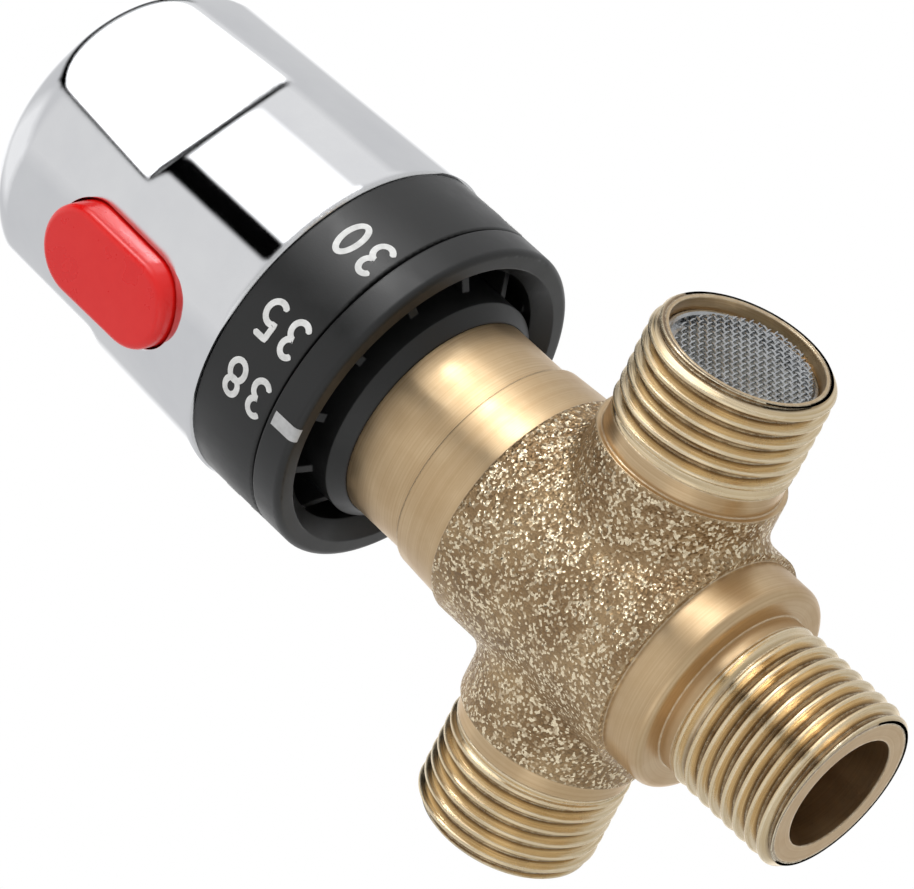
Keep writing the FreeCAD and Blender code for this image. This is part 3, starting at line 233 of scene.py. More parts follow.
def smudge_group():
    """Slow change in polish and the faint waviness of a plated or moulded face."""
    tree, given, gives = new_group(
        "smudge", "ShaderNodeTree",
        [("Patch Size", "NodeSocketFloat", 0.006)],
        [("Smudge", "NodeSocketFloat"), ("Wave", "NodeSocketFloat"), ("Grain", "NodeSocketFloat")])
    where = tree.add("ShaderNodeTexCoord").outputs["Object"]
    scale = tree.math("DIVIDE", 1.0, given.outputs["Patch Size"])
    tree.feed(gives.inputs["Smudge"], tree.between(tree.noise(where, scale, 4.0, 0.6), 0.3, 0.7))
    tree.feed(gives.inputs["Wave"], tree.noise(where, tree.math("MULTIPLY", scale, 1.7), 1.0))
    tree.feed(gives.inputs["Grain"], tree.noise(where, MOULD_GRAIN, 2.0))
    return tree.tree


SAND_GRAIN = sand_grain_group()
TURNED_LINES = turned_lines_group()
EDGE_WEAR = edge_wear_group()
SMUDGE = smudge_group()


# ---------------------------------------------------------------- materials

def new_material(name, metallic, roughness, **sockets):
    """A material with its Principled shader; the sockets given are plain values."""
    material = bpy.data.materials.new(name)
    material.use_nodes = True
    tree = Tree(material.node_tree)
    shader = material.node_tree.nodes["Principled BSDF"]
    shader.inputs["Metallic"].default_value = metallic
    shader.inputs["Roughness"].default_value = roughness
    for key, value in sockets.items():
        shader.inputs[key.replace("_", " ")].default_value = value
    return material, tree, shader


def use(tree, group, **values):
    """Adds a shared effect to a material and hands back its outputs."""
    made = tree.add("ShaderNodeGroup", node_tree=group)
    for key, value in values.items():
        tree.feed(made.inputs[key.replace("_", " ")], value)
    return made.outputs


def bump(tree, shader, height, depth, normal=None):
    """Raises the surface by height times depth, in metres."""
    made = tree.add("ShaderNodeBump", {"Height": height, "Distance": depth, "Strength": 1.0})
    if normal is not None:
        tree.feed(made.inputs["Normal"], normal)
    tree.feed(shader.inputs["Normal"], made.outputs[0])


def cast_brass():
    """The blasted skin of the tee: dull stains, grains that glint, partly through a painted glint in
    their colour, and edges rubbed paler.
    """
    material, tree, shader = new_material("sand_cast_brass", 0.9, 0.45)
    wear = use(tree, EDGE_WEAR, Width=0.7 * MM)
    grain = use(tree, SAND_GRAIN, Grain_Size=0.3 * MM, Lean=0.75, Normal=wear["Round Normal"])
    dull = tree.blend(grain["Stain"], shade(150, 122, 88), shade(182, 154, 116))
    # painted glint: the picked grains get a near-white colour, whatever the light
    bright = tree.blend(grain["Glint Speck"], dull, shade(248, 232, 200))
    tree.feed(shader.inputs["Base Color"], tree.blend(wear["Mask"], bright, shade(206, 182, 144)))
    tree.feed(shader.inputs["Roughness"], tree.between(grain["Glint Speck"], 0, 1, 0.42, 0.2))
    bump(tree, shader, grain["Height"], 0.14 * MM, grain["Facet Normal"])
    return material


def turned_brass(name, axis=(0, 0, 1), centre=(0, 0, 0)):
    """Lathe-turned faces, with tool lines round the axis given."""
    material, tree, shader = new_material(name, 1.0, 0.3)
    lines = use(tree, TURNED_LINES, Axis=axis, Centre=centre, Spacing=0.22 * MM)
    wear = use(tree, EDGE_WEAR, Width=0.35 * MM)
    line = tree.between(lines["Line"], 0.35, 0.65)
    tone = tree.blend(line, shade(202, 173, 134), shade(216, 190, 152))
    tone = tree.blend(tree.math("MULTIPLY", lines["Patch"], 0.3), tone, shade(192, 160, 118))
    tree.feed(shader.inputs["Base Color"], tree.blend(wear["Mask"], tone, shade(246, 232, 204)))
    tree.feed(shader.inputs["Roughness"], tree.between(lines["Patch"], 0, 1, 0.3, 0.4))
    bump(tree, shader, lines["Line"], 0.011 * MM, wear["Round Normal"])
    return material


def cut_thread_brass(name, axis=(0, 0, 1), centre=(0, 0, 0)):
    """Freshly cut crests and flanks, with painted shade that darkens the thread roots."""
    material, tree, shader = new_material(name, 1.0, 0.22)
    lines = use(tree, TURNED_LINES, Axis=axis, Centre=centre, Spacing=0.3 * MM)
    wear = use(tree, EDGE_WEAR, Width=0.3 * MM)
    line = tree.between(lines["Line"], 0.35, 0.65)
    tone = tree.blend(line, shade(220, 196, 154), shade(244, 226, 194))
    root = THREAD_CREST - THREAD_DEPTH
    # painted shade: the colour darkens towards the thread roots, where shade falls between the flanks
    painted_root_shade = tree.between(lines["Away"], root + 0.1 * MM, root + 0.55 * MM, 1.0, 0.0)
    painted_root_shade = tree.math("MULTIPLY", painted_root_shade, tree.between(lines["Patch"], 0, 1, 0.75, 1.0))
    tone = tree.blend(painted_root_shade, tone, shade(116, 86, 52))
    tree.feed(shader.inputs["Base Color"], tree.blend(wear["Mask"], tone, shade(255, 244, 216)))
    tree.feed(shader.inputs["Roughness"], tree.between(lines["Patch"], 0, 1, 0.16, 0.3))
    bump(tree, shader, lines["Line"], 0.03 * MM, wear["Round Normal"])
    return material


def chrome():
    """Bright plating, polished round at the borders of the grip flats and crisp elsewhere."""
    material, tree, shader = new_material("chrome_plate", 1.0, 0.05)
    smudge = use(tree, SMUDGE, Patch_Size=9 * MM)
    tree.feed(shader.inputs["Base Color"],
              tree.blend(smudge["Smudge"], shade(226, 227, 230), shade(233, 234, 236)))
    tree.feed(shader.inputs["Roughness"], tree.between(smudge["Smudge"], 0, 1, 0.03, 0.06))
    where = tree.add("ShaderNodeTexCoord").outputs["Object"]
    rounding = 0.0
    for flat in map(math.radians, FLAT_BEARINGS):
        reach = tree.vector("DOT_PRODUCT", where, (math.cos(flat), math.sin(flat), 0), out="Value")
        near_flat = tree.between(reach, 14 * MM, 16 * MM, SHARP_EDGE, SOFT_EDGE)
        rounding = tree.math("MAXIMUM", rounding, near_flat)
    soft_edge = tree.add("ShaderNodeBevel", {"Radius": rounding}, samples=8)
    bump(tree, shader, smudge["Wave"], 0.008 * MM, soft_edge.outputs[0])
    return material


def moulded(name, colour, worn, roughness, grain_depth=0.008 * MM, coat=0.0):
    """A moulded plastic or rubber: fine grain, slow change of gloss, paler edges."""
    material, tree, shader = new_material(name, 0.0, roughness, Coat_Weight=coat, Coat_Roughness=0.08)
    smudge = use(tree, SMUDGE, Patch_Size=5 * MM)
    wear = use(tree, EDGE_WEAR, Width=0.25 * MM)
    tone = tree.blend(tree.math("MULTIPLY", smudge["Smudge"], 0.5), colour, worn)
    tree.feed(shader.inputs["Base Color"],
              tree.blend(tree.math("MULTIPLY", wear["Mask"], 0.6), tone, worn))
    tree.feed(shader.inputs["Roughness"],
              tree.between(smudge["Smudge"], 0, 1, roughness * 0.85, roughness * 1.15))
    bump(tree, shader, smudge["Grain"], grain_depth, wear["Round Normal"])
    return material


def drawn_metal(name, colour, pale, roughness):
    """Wire, pressed or turned bright metal."""
    material, tree, shader = new_material(name, 1.0, roughness)
    smudge = use(tree, SMUDGE, Patch_Size=2 * MM)
    tree.feed(shader.inputs["Base Color"], tree.blend(smudge["Smudge"], colour, pale))
    tree.feed(shader.inputs["Roughness"],
              tree.between(smudge["Smudge"], 0, 1, roughness * 0.8, roughness * 1.3))
    bump(tree, shader, smudge["Grain"], 0.006 * MM)
    return material


def scale_paint(name, colour, dim):
    """Pad-printed paint: a touch thinner in places."""
    material, tree, shader = new_material(name, 0.0, 0.5)
    smudge = use(tree, SMUDGE, Patch_Size=1.2 * MM)
    tree.feed(shader.inputs["Base Color"], tree.blend(smudge["Smudge"], dim, colour))
    bump(tree, shader, smudge["Grain"], 0.006 * MM)
    return material


INLET_CENTRE = (0, 0, INLET_HEIGHT)
CAST = cast_brass()
TURNED = turned_brass("turned_brass")
TURNED_INLET = turned_brass("turned_brass_inlets", (1, 0, 0), INLET_CENTRE)
THREAD = cut_thread_brass("cut_thread_brass")
THREAD_SIDE = cut_thread_brass("cut_thread_brass_inlets", (1, 0, 0), INLET_CENTRE)
CHROME = chrome()
BLACK = moulded("black_plastic", shade(18, 19, 19), shade(32, 32, 33), 0.38)
RED = moulded("red_plastic", shade(236, 8, 8), shade(246, 44, 36), 0.3, 0.004 * MM, coat=0.15)
WHITE = moulded("white_acetal", shade(226, 224, 216), shade(242, 241, 236), 0.42)
RUBBER = moulded("seal_rubber", shade(24, 24, 25), shade(44, 44, 45), 0.62, 0.01 * MM)
STEEL = drawn_metal("stainless_steel", shade(176, 178, 180), shade(206, 208, 210), 0.24)
COPPER = drawn_metal("copper_cup", shade(186, 108, 74), shade(214, 140, 104), 0.3)
PAINT = scale_paint("scale_white", shade(244, 244, 242), shade(214, 214, 212))
INDEX = scale_paint("index_grey", shade(206, 206, 206), shade(178, 178, 178))

FINISH = {"cast_brass": CAST, "turned_brass": TURNED, "chrome_plate": CHROME, "black_plastic": BLACK,
          "red_plastic": RED, "white_plastic": WHITE, "copper": COPPER, "steel": STEEL,
          "rubber": RUBBER}
SLOT_OF = {part["node"]: part["material_slot"] for part in frame["record"]["subparts"]}
BEHAVIOUR = frame["record"]["behaviour"]
BODY_OF = {node: body for body, nodes in BEHAVIOUR["bodies"].items() for node in nodes}

for node_name, node_object in frame["nodes"].items():
    for material_slot in node_object.material_slots:
        material_slot.material = FINISH[SLOT_OF[node_name]]


# ---------------------------------------------------------------- pieces from the solids

def show(name, mesh, body, slot, *replaced):
    """Puts a finished mesh in the scene on its body, in place of the solids it stands for."""
    piece = bpy.data.objects.new(name, mesh)
    bpy.context.scene.collection.objects.link(piece)
    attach(piece, body)
    if replaced:
        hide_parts(*replaced)
    return piece


def merged(node_name):
    """A welded copy of a node's mesh."""
    work = bmesh.new()
    work.from_mesh(frame["nodes"][node_name].data)
    bmesh.ops.remove_doubles(work, verts=work.verts, dist=0.002 * MM)
    return work


def write_smooth(work, name, materials, angle=SMOOTH):
    """Writes the welded work to a mesh that is smooth but for its sharp edges."""
    for face in work.faces:
        face.smooth = True
    for edge in work.edges:
        edge.smooth = len(edge.link_faces) != 2 or edge.calc_face_angle(0) < angle
    mesh = bpy.data.meshes.new(name)
    work.to_mesh(mesh)
    work.free()
    for material in materials:
        mesh.materials.append(material)
    return mesh


def smooth_copy(node_name, name):
    """A solid shown as it is, with its curved faces shaded smooth."""
    slot = SLOT_OF[node_name]
    mesh = write_smooth(merged(node_name), name, [FINISH[slot]])
    return show(name, mesh, BODY_OF[node_name], slot, node_name)


def pressed_spring(node_name):
    """A spring shown as it is, on a mesh of its own."""
    spring = smooth_copy(node_name, f"{node_name}_wound")
    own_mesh(spring)


def plated_shell():
    """The chromed shell, whose taper and flats are shaded as true surfaces and not as facets."""
    mesh = write_smooth(merged("knob_shell"), "knob_shell_plated", [CHROME], PLATED_SMOOTH)
    flats = [Vector((math.cos(turn), math.sin(turn), 0)) for turn in map(math.radians, FLAT_BEARINGS)]
    normals = [corner.vector.copy() for corner in mesh.corner_normals]
    same_side = math.cos(math.radians(14))
    on_flat, on_taper = 0.004 * MM, 0.006 * MM
    for face in mesh.polygons:
        for loop in face.loop_indices:
            spot = mesh.vertices[mesh.loops[loop].vertex_index].co
            reach = math.hypot(spot.x, spot.y)
            taper = SHELL_FOOT_RADIUS - (spot.z - SCALE_TOP) * SHELL_DROP
            true = [flat for flat in flats if abs(spot.dot(flat) - FLAT_REACH) < on_flat]
            if abs(reach - taper) < on_taper:
                true.append(Vector((spot.x / reach, spot.y / reach, SHELL_DROP)).normalized())
            for normal in true:
                if normal.dot(face.normal) > same_side:
                    normals[loop] = normal
    mesh.normals_split_custom_set(normals)
    show("knob_shell_plated", mesh, "knob", "chrome_plate", "knob_shell")


def body_casting():
    """The tee body, with its threaded stretches turned down to a core for the thread sleeves."""
    work = merged("valve_body")
    slack = 0.05 * MM
    for vertex in work.verts:
        x, y, z = vertex.co
        outlet_reach = math.hypot(x, y)
        if z < OUTLET_THREAD + slack and outlet_reach > THREAD_CORE:
            if z < OUTLET_THREAD - slack or outlet_reach > RELIEF_RADIUS + slack:
                vertex.co = (x * THREAD_CORE / outlet_reach, y * THREAD_CORE / outlet_reach, z)
        inlet_reach = math.hypot(y, z - INLET_HEIGHT)
        if abs(x) > INLET_THREAD_FOOT - slack and inlet_reach > THREAD_CORE:
            if abs(x) > INLET_THREAD_FOOT + slack or inlet_reach > RELIEF_RADIUS + slack:
                shrink = THREAD_CORE / inlet_reach
                vertex.co = (x, y * shrink, INLET_HEIGHT + (z - INLET_HEIGHT) * shrink)
    work.normal_update()
    for face in work.faces:
        x, y, z = face.calc_center_median()
        inlet_end = abs(x) > BOSS_REACH - slack
        upright = abs(face.normal.z) < 0.5 and face.normal.x * x + face.normal.y * y < 0
        inside = upright and math.hypot(x, y) < BARREL_BORE
        inlet_bore = abs(x) > INLET_BORE_FOOT and math.hypot(y, z - INLET_HEIGHT) < INLET_BORE
        if inlet_end or inlet_bore:
            face.material_index = 2
        elif COLLAR_TOP - slack < z < BARREL_TOP + slack and not inside:
            face.material_index = 0
        else:
            face.material_index = 1
    mesh = write_smooth(work, "body_casting", [CAST, TURNED, TURNED_INLET])
    show("body_casting", mesh, "valve", "cast_brass", "valve_body")


# ---------------------------------------------------------------- pipe threads

SHARP_HEIGHT = 0.9605               # height of the sharp 55 degree triangle, as a share of the pitch
CUT_OFF = 1 / 6                     # share of that height which is cut off at the root
CREST_ROUNDING = 0.07               # as a share of the pitch


def thread_tree():
    """A closed sleeve that carries a rounded 55 degree pipe thread, laid out along local Z."""
    tree, given, gives = new_group(
        "pipe_thread", "GeometryNodeTree",
        [("Length", "NodeSocketFloat", OUTLET_THREAD), ("Crest Radius", "NodeSocketFloat", THREAD_CREST),
         ("Core Radius", "NodeSocketFloat", THREAD_CORE), ("Pitch", "NodeSocketFloat", THREAD_PITCH),
         ("Depth", "NodeSocketFloat", THREAD_DEPTH),
         ("Relief Radius", "NodeSocketFloat", RELIEF_RADIUS),
         ("End Chamfer", "NodeSocketFloat", 0.8 * MM), ("Around", "NodeSocketInt", 120),
         ("Per Pitch", "NodeSocketInt", 10), ("Turn", "NodeSocketVector", (0, 0, 0)),
         ("Place", "NodeSocketVector", (0, 0, 0)), ("Finish", "NodeSocketMaterial", None)],
        [("Geometry", "NodeSocketGeometry")])
    size = given.outputs
    step = tree.math("DIVIDE", size["Pitch"], size["Per Pitch"])
    swept = tree.math("ADD", size["Length"], size["Pitch"])
    steps = tree.math("CEIL", tree.math("DIVIDE", swept, step))
    rows = tree.math("ADD", steps, 4.0)
    grid = tree.add("GeometryNodeMeshGrid", {"Size X": 1.0, "Size Y": 1.0,
                                             "Vertices X": tree.math("ADD", size["Around"], 1.0),
                                             "Vertices Y": rows})
    flat = tree.add("ShaderNodeSeparateXYZ", {0: tree.add("GeometryNodeInputPosition").outputs[0]})
    turn = tree.math("ADD", flat.outputs["X"], 0.5)
    row = tree.math("ROUND", tree.math("MULTIPLY", tree.math("ADD", flat.outputs["Y"], 0.5),
                                       tree.math("SUBTRACT", rows, 1.0)))
    thread_row = tree.math("SUBTRACT", row, 1.0)
    last = tree.math("ADD", steps, 1.5)
    helix = tree.math("ADD", tree.math("MULTIPLY", thread_row, step),
                      tree.math("MULTIPLY", tree.math("SUBTRACT", turn, 1.0), size["Pitch"]))
    held = tree.math("MINIMUM", tree.math("MAXIMUM", helix, 0.0), size["Length"])
    is_first = tree.math("LESS_THAN", row, 0.5)
    is_closing = tree.math("GREATER_THAN", row, tree.math("ADD", last, 1.0))
    at_start = tree.math("MAXIMUM", is_first, is_closing)
    at_end = tree.math("SUBTRACT", tree.math("GREATER_THAN", row, last), is_closing)
    along = tree.math("MULTIPLY", held, tree.math("SUBTRACT", 1.0, at_start))
    along = tree.math("MAXIMUM", along, tree.math("MULTIPLY", at_end, size["Length"]))

    phase = tree.math("FRACT", tree.math("DIVIDE", thread_row, size["Per Pitch"]))
    ramp = tree.math("ABSOLUTE", tree.math("SUBTRACT", tree.math("MULTIPLY", phase, 2.0), 1.0))
    sharp_height = tree.math("MULTIPLY", size["Pitch"], SHARP_HEIGHT)
    flank = tree.math("MULTIPLY", sharp_height, tree.math("SUBTRACT", ramp, CUT_OFF))
    rounding = tree.math("MULTIPLY", size["Pitch"], CREST_ROUNDING)
    flank = tree.math("SMOOTH_MIN", flank, size["Depth"], rounding)
    flank = tree.math("SMOOTH_MAX", flank, 0.0, rounding)
    root = tree.math("SUBTRACT", size["Crest Radius"], size["Depth"])
    radius = tree.math("ADD", root, flank)
    run_out = tree.math("SUBTRACT", size["Length"], size["Pitch"])
    root_end = tree.math("SUBTRACT", size["Length"], 0.3 * MM)
    crest_end = tree.math("SUBTRACT", size["Length"], 0.4 * MM)
    lifted = tree.between(along, run_out, root_end, root, size["Relief Radius"])
    radius = tree.math("MAXIMUM", radius, lifted)
    foot = tree.between(along, crest_end, size["Length"], size["Crest Radius"],
                        size["Relief Radius"])
    radius = tree.math("MINIMUM", radius, foot)
    chamfer_foot = tree.math("SUBTRACT", size["Crest Radius"], size["End Chamfer"])
    chamfer = tree.math("ADD", chamfer_foot, along)
    radius = tree.math("SMOOTH_MIN", radius, chamfer, 0.2 * MM)

    inner = tree.math("MAXIMUM", at_start, at_end)
    wall = tree.add("ShaderNodeMix", {0: inner, 2: radius, 3: size["Core Radius"]}).outputs[0]
    angle = tree.math("MULTIPLY", turn, 2 * math.pi)
    spot = tree.add("ShaderNodeCombineXYZ", {
        "X": tree.math("MULTIPLY", wall, tree.math("COSINE", angle)),
        "Y": tree.math("MULTIPLY", wall, tree.math("SINE", angle)), "Z": along}).outputs[0]
    wrapped = tree.add("GeometryNodeSetPosition", {"Geometry": grid.outputs[0], "Position": spot})
    welded = tree.add("GeometryNodeMergeByDistance", {0: wrapped.outputs[0], "Distance": 0.002 * MM})
    smooth = tree.add("GeometryNodeSetShadeSmooth", {0: welded.outputs[0]})
    placed = tree.add("GeometryNodeTransform", {"Geometry": smooth.outputs[0], "Rotation": size["Turn"],
                                                "Translation": size["Place"]})
    real = tree.add("GeometryNodeRealizeInstances", {0: placed.outputs[0]})
    coated = tree.add("GeometryNodeSetMaterial", {0: real.outputs[0], "Material": size["Finish"]})
    tree.feed(gives.inputs["Geometry"], coated.outputs[0])
    return tree.tree


def grow(name, tree, values, body, slot, *replaced):
    """Runs a Geometry Nodes tree with the values given and keeps the plain mesh it makes."""
    seed = bpy.data.objects.new(name + "_seed", bpy.data.meshes.new(name + "_seed"))
    bpy.context.scene.collection.objects.link(seed)
    modifier = seed.modifiers.new("grow", "NODES")
    modifier.node_group = tree
    known = {item.name: item.identifier for item in tree.interface.items_tree
             if getattr(item, "in_out", "") == "INPUT"}
    for label, value in values.items():
        modifier[known[label]] = value
    depsgraph = bpy.context.evaluated_depsgraph_get()
    mesh = bpy.data.meshes.new_from_object(seed.evaluated_get(depsgraph), depsgraph=depsgraph)
    mesh.name = name
    bpy.data.objects.remove(seed)
    work = bmesh.new()
    work.from_mesh(mesh)
    bmesh.ops.recalc_face_normals(work, faces=work.faces)
    for edge in work.edges:
        edge.smooth = len(edge.link_faces) != 2 or edge.calc_face_angle(0) < GROWN_SMOOTH
    work.to_mesh(mesh)
    work.free()
    show(name, mesh, body, slot, *replaced)


def threads():
    """The sleeves on the outlet and on both inlets."""
    tree = thread_tree()
    quarter = math.radians(90)
    grow("outlet_thread", tree, {"Length": OUTLET_THREAD, "Finish": THREAD}, "valve", "turned_brass")
    for name, side in (("cold_thread", 1), ("hot_thread", -1)):
        grow(name, tree, {"Length": INLET_END - INLET_THREAD_FOOT, "Finish": THREAD_SIDE,
                          "Turn": (0.0, -side * quarter, 0.0),
                          "Place": (side * INLET_END, 0.0, INLET_HEIGHT)}, "valve", "turned_brass")


# ---------------------------------------------------------------- woven filters

CRIMP = 0.9                         # how far a wire swings, as a share of its radius


def weave_tree():
    """A round piece of plain-woven wire cloth, laid out in local XY."""
    tree, given, gives = new_group(
        "wire_weave", "GeometryNodeTree",
        [("Radius", "NodeSocketFloat", MESH_RADIUS), ("Pitch", "NodeSocketFloat", MESH_PITCH),
         ("Wire Radius", "NodeSocketFloat", 0.12 * MM), ("Points per Pitch", "NodeSocketInt", 4),
         ("Turn", "NodeSocketVector", (0, 0, 0)), ("Place", "NodeSocketVector", (0, 0, 0)),
         ("Finish", "NodeSocketMaterial", None)],
        [("Geometry", "NodeSocketGeometry")])
    size = given.outputs
    half_count = tree.math("FLOOR", tree.math("DIVIDE", size["Radius"], size["Pitch"]))
    count = tree.math("ADD", tree.math("MULTIPLY", half_count, 2.0), 1.0)
    first = tree.math("MULTIPLY", half_count, tree.math("MULTIPLY", size["Pitch"], -1.0))
    rail = tree.add("GeometryNodeMeshLine", {
        "Count": count, "Start Location": tree.add("ShaderNodeCombineXYZ", {"Y": first}).outputs[0],
        "Offset": tree.add("ShaderNodeCombineXYZ", {"Y": size["Pitch"]}).outputs[0]}, mode="OFFSET")
    unit = tree.add("GeometryNodeCurvePrimitiveLine", {"Start": (-1, 0, 0), "End": (1, 0, 0)})
    points = tree.math("MULTIPLY", tree.math("MULTIPLY", half_count, 2.0), size["Points per Pitch"])
    fine = tree.add("GeometryNodeResampleCurve", {"Curve": unit.outputs[0],
                                                  "Count": tree.math("ADD", points, 1.0)})
    here = tree.add("ShaderNodeSeparateXYZ", {0: tree.add("GeometryNodeInputPosition").outputs[0]})
    room = tree.math("SUBTRACT", tree.math("MULTIPLY", size["Radius"], size["Radius"]),
                     tree.math("MULTIPLY", here.outputs["Y"], here.outputs["Y"]))
    chord = tree.math("SQRT", tree.math("MAXIMUM", room, 0.0))
    wires = tree.add("GeometryNodeInstanceOnPoints", {
        "Points": rail.outputs[0], "Instance": fine.outputs[0],
        "Scale": tree.add("ShaderNodeCombineXYZ", {"X": chord, "Y": 1.0, "Z": 1.0}).outputs[0]})
    loose = tree.add("GeometryNodeRealizeInstances", {0: wires.outputs[0]})
    spot = tree.add("ShaderNodeSeparateXYZ", {0: tree.add("GeometryNodeInputPosition").outputs[0]})
    swing = tree.math("DIVIDE", tree.math("MULTIPLY", spot.outputs["X"], math.pi), size["Pitch"])
    line = tree.math("ROUND", tree.math("DIVIDE", spot.outputs["Y"], size["Pitch"]))
    wave = tree.math("COSINE", tree.math("ADD", swing, tree.math("MULTIPLY", line, math.pi)))
    lift = tree.math("MULTIPLY", wave, tree.math("MULTIPLY", size["Wire Radius"], CRIMP))
    offset = tree.add("ShaderNodeCombineXYZ", {"Z": lift}).outputs[0]
    bent = tree.add("GeometryNodeSetPosition", {"Geometry": loose.outputs[0], "Offset": offset})
    ring = tree.add("GeometryNodeCurvePrimitiveCircle",
                    {"Resolution": 5, "Radius": size["Wire Radius"]})
    round_wire = tree.add("GeometryNodeCurveToMesh", {"Curve": bent.outputs[0],
                                                      "Profile Curve": ring.outputs[0],
                                                      "Fill Caps": True})
    across = tree.add("GeometryNodeTransform", {
        "Geometry": round_wire.outputs[0], "Rotation": (math.pi, 0.0, math.pi / 2)})
    both = tree.add("GeometryNodeJoinGeometry")
    tree.tree.links.new(round_wire.outputs[0], both.inputs[0])
    tree.tree.links.new(across.outputs[0], both.inputs[0])
    placed = tree.add("GeometryNodeTransform", {"Geometry": both.outputs[0], "Rotation": size["Turn"],
                                                "Translation": size["Place"]})
    real = tree.add("GeometryNodeRealizeInstances", {0: placed.outputs[0]})
    smooth = tree.add("GeometryNodeSetShadeSmooth", {0: real.outputs[0]})
    coated = tree.add("GeometryNodeSetMaterial", {0: smooth.outputs[0], "Material": size["Finish"]})
    tree.feed(gives.inputs["Geometry"], coated.outputs[0])
    return tree.tree


def filters():
    """The wire cloth and its rim in each inlet."""
    tree = weave_tree()
    skew, quarter = math.radians(12), math.radians(90)
    for prefix, side in (("cold", 1), ("hot", -1)):
        grow(f"{prefix}_woven_filter", tree, {
            "Finish": STEEL, "Turn": (skew, side * quarter, 0.0),
            "Place": (side * MESH_REACH, 0.0, INLET_HEIGHT)}, "valve", "steel", f"{prefix}_filter_mesh")
        smooth_copy(f"{prefix}_filter_frame", f"{prefix}_filter_rim")


# ---------------------------------------------------------------- printed scale

DIGIT_WIDTH = 2.1                   # sizes of the print in mm
DIGIT_HEIGHT = 4.3
DIGIT_PITCH = 3.8
SCALE_MIDDLE = 73.6
STROKE = 0.72
POINT_STEP = 0.22
PAINT_FOOT = -0.02                  # the paint's underside lies this share of its wall in the ring
SCALE_BEARINGS = {"38": -89.2, "35": -67.7, "30": -33.8, "20": 35.0, "45": -150.0}


def arc(x, y, wide, high, start, end, steps=18):
    """Points of an elliptic arc, in mm, from start to end degrees."""
    points = []
    for step in range(steps + 1):
        angle = math.radians(start + (end - start) * step / steps)
        points.append((x + wide * math.cos(angle), y + high * math.sin(angle)))
    return points


def digit_paths(digit):
    """Centre lines of a digit drawn in DIGIT_WIDTH by DIGIT_HEIGHT, in mm."""
    w, h = DIGIT_WIDTH, DIGIT_HEIGHT
    top, low = h * 0.27, h * 0.29
    return {
        "0": [arc(w / 2, h / 2, w / 2, h / 2, 0, 360, 40)],
        "2": [arc(w / 2, h - top, w / 2, top, 170, -35) + [(0, 0), (w, 0)]],
        "3": [arc(w / 2, h - top * 0.9, w * 0.44, top * 0.9, 155, -90)
              + arc(w / 2, low * 0.9, w / 2, low * 0.9, 90, -155)[1:]],
        "4": [[(w * 0.7, 0), (w * 0.7, h), (0, h * 0.32), (w, h * 0.32)]],
        "5": [[(w * 0.92, h), (w * 0.1, h)] + arc(w * 0.44, h * 0.31, w * 0.56, h * 0.31, 128, -140)],
        "8": [arc(w / 2, h - top * 0.86, w * 0.42, top * 0.86, 0, 360, 32),
              arc(w / 2, low, w / 2, low * 0.98, 0, 360, 32)],
    }[digit]


def resample(path):
    """The same path with points no further apart than POINT_STEP."""
    points = [path[0]]
    for start, end in zip(path, path[1:]):
        pieces = max(1, math.ceil(math.dist(start, end) / POINT_STEP))
        for number in range(1, pieces + 1):
            share = number / pieces
            points.append((start[0] + (end[0] - start[0]) * share,
                           start[1] + (end[1] - start[1]) * share))
    return points


def stroke_band(work, path, to_space):
    """A closed, thin band with round ends along a path; to_space lifts (x, y, level) off the ring."""
    closed = math.dist(path[0], path[-1]) < 1e-6
    points = resample(path)
    if closed:
        points = points[:-1]
    count = len(points)
    sides = []
    for number, (x, y) in enumerate(points):
        before = points[number - 1] if closed or number else points[0]
        after = points[(number + 1) % count] if closed or number < count - 1 else points[-1]
        dx, dy = after[0] - before[0], after[1] - before[1]
        length = math.hypot(dx, dy) or 1.0
        across = (-dy / length, dx / length)
        trim = 1.0
        if not closed:
            from_end = min(number, count - 1 - number) * POINT_STEP
            trim = math.sqrt(max(0.06, 1 - max(0.0, 1 - from_end / (STROKE / 2)) ** 2))
        half = STROKE / 2 * trim
        sides.append([(x - across[0] * half, y - across[1] * half),
                      (x + across[0] * half, y + across[1] * half)])
    rings = []
    for left, right in sides:
        corners = ((left, PAINT_FOOT), (right, PAINT_FOOT), (right, 1), (left, 1))
        rings.append([work.verts.new(to_space(*side, level)) for side, level in corners])
    for number in range(count if closed else count - 1):
        first, second = rings[number], rings[(number + 1) % count]
        for corner in range(4):
            other = (corner + 1) % 4
            work.faces.new((first[corner], first[other], second[other], second[corner]))
    if not closed:
        work.faces.new(reversed(rings[0]))
        work.faces.new(rings[-1])


def scale_number(text, azimuth):
    """One number of the scale: it reads along +Z, with its top towards smaller azimuths."""
    work = bmesh.new()
    start = SCALE_MIDDLE - DIGIT_PITCH * len(text) / 2 + (DIGIT_PITCH - DIGIT_WIDTH) / 2
    for place, digit in enumerate(text):
        low = start + place * DIGIT_PITCH

        def to_space(x, y, level, low=low):
            angle = math.radians(azimuth) - (y - DIGIT_HEIGHT / 2) * MM / RING_RADIUS
            radius = RING_RADIUS + level * PAINT_WALL
            return radius * math.cos(angle), radius * math.sin(angle), (low + x) * MM

        for path in digit_paths(digit):
            stroke_band(work, path, to_space)
    bmesh.ops.recalc_face_normals(work, faces=work.faces)
    mesh = write_smooth(work, f"scale_number_{text}", [PAINT])
    show(f"scale_number_{text}", mesh, "knob", "white_plastic")


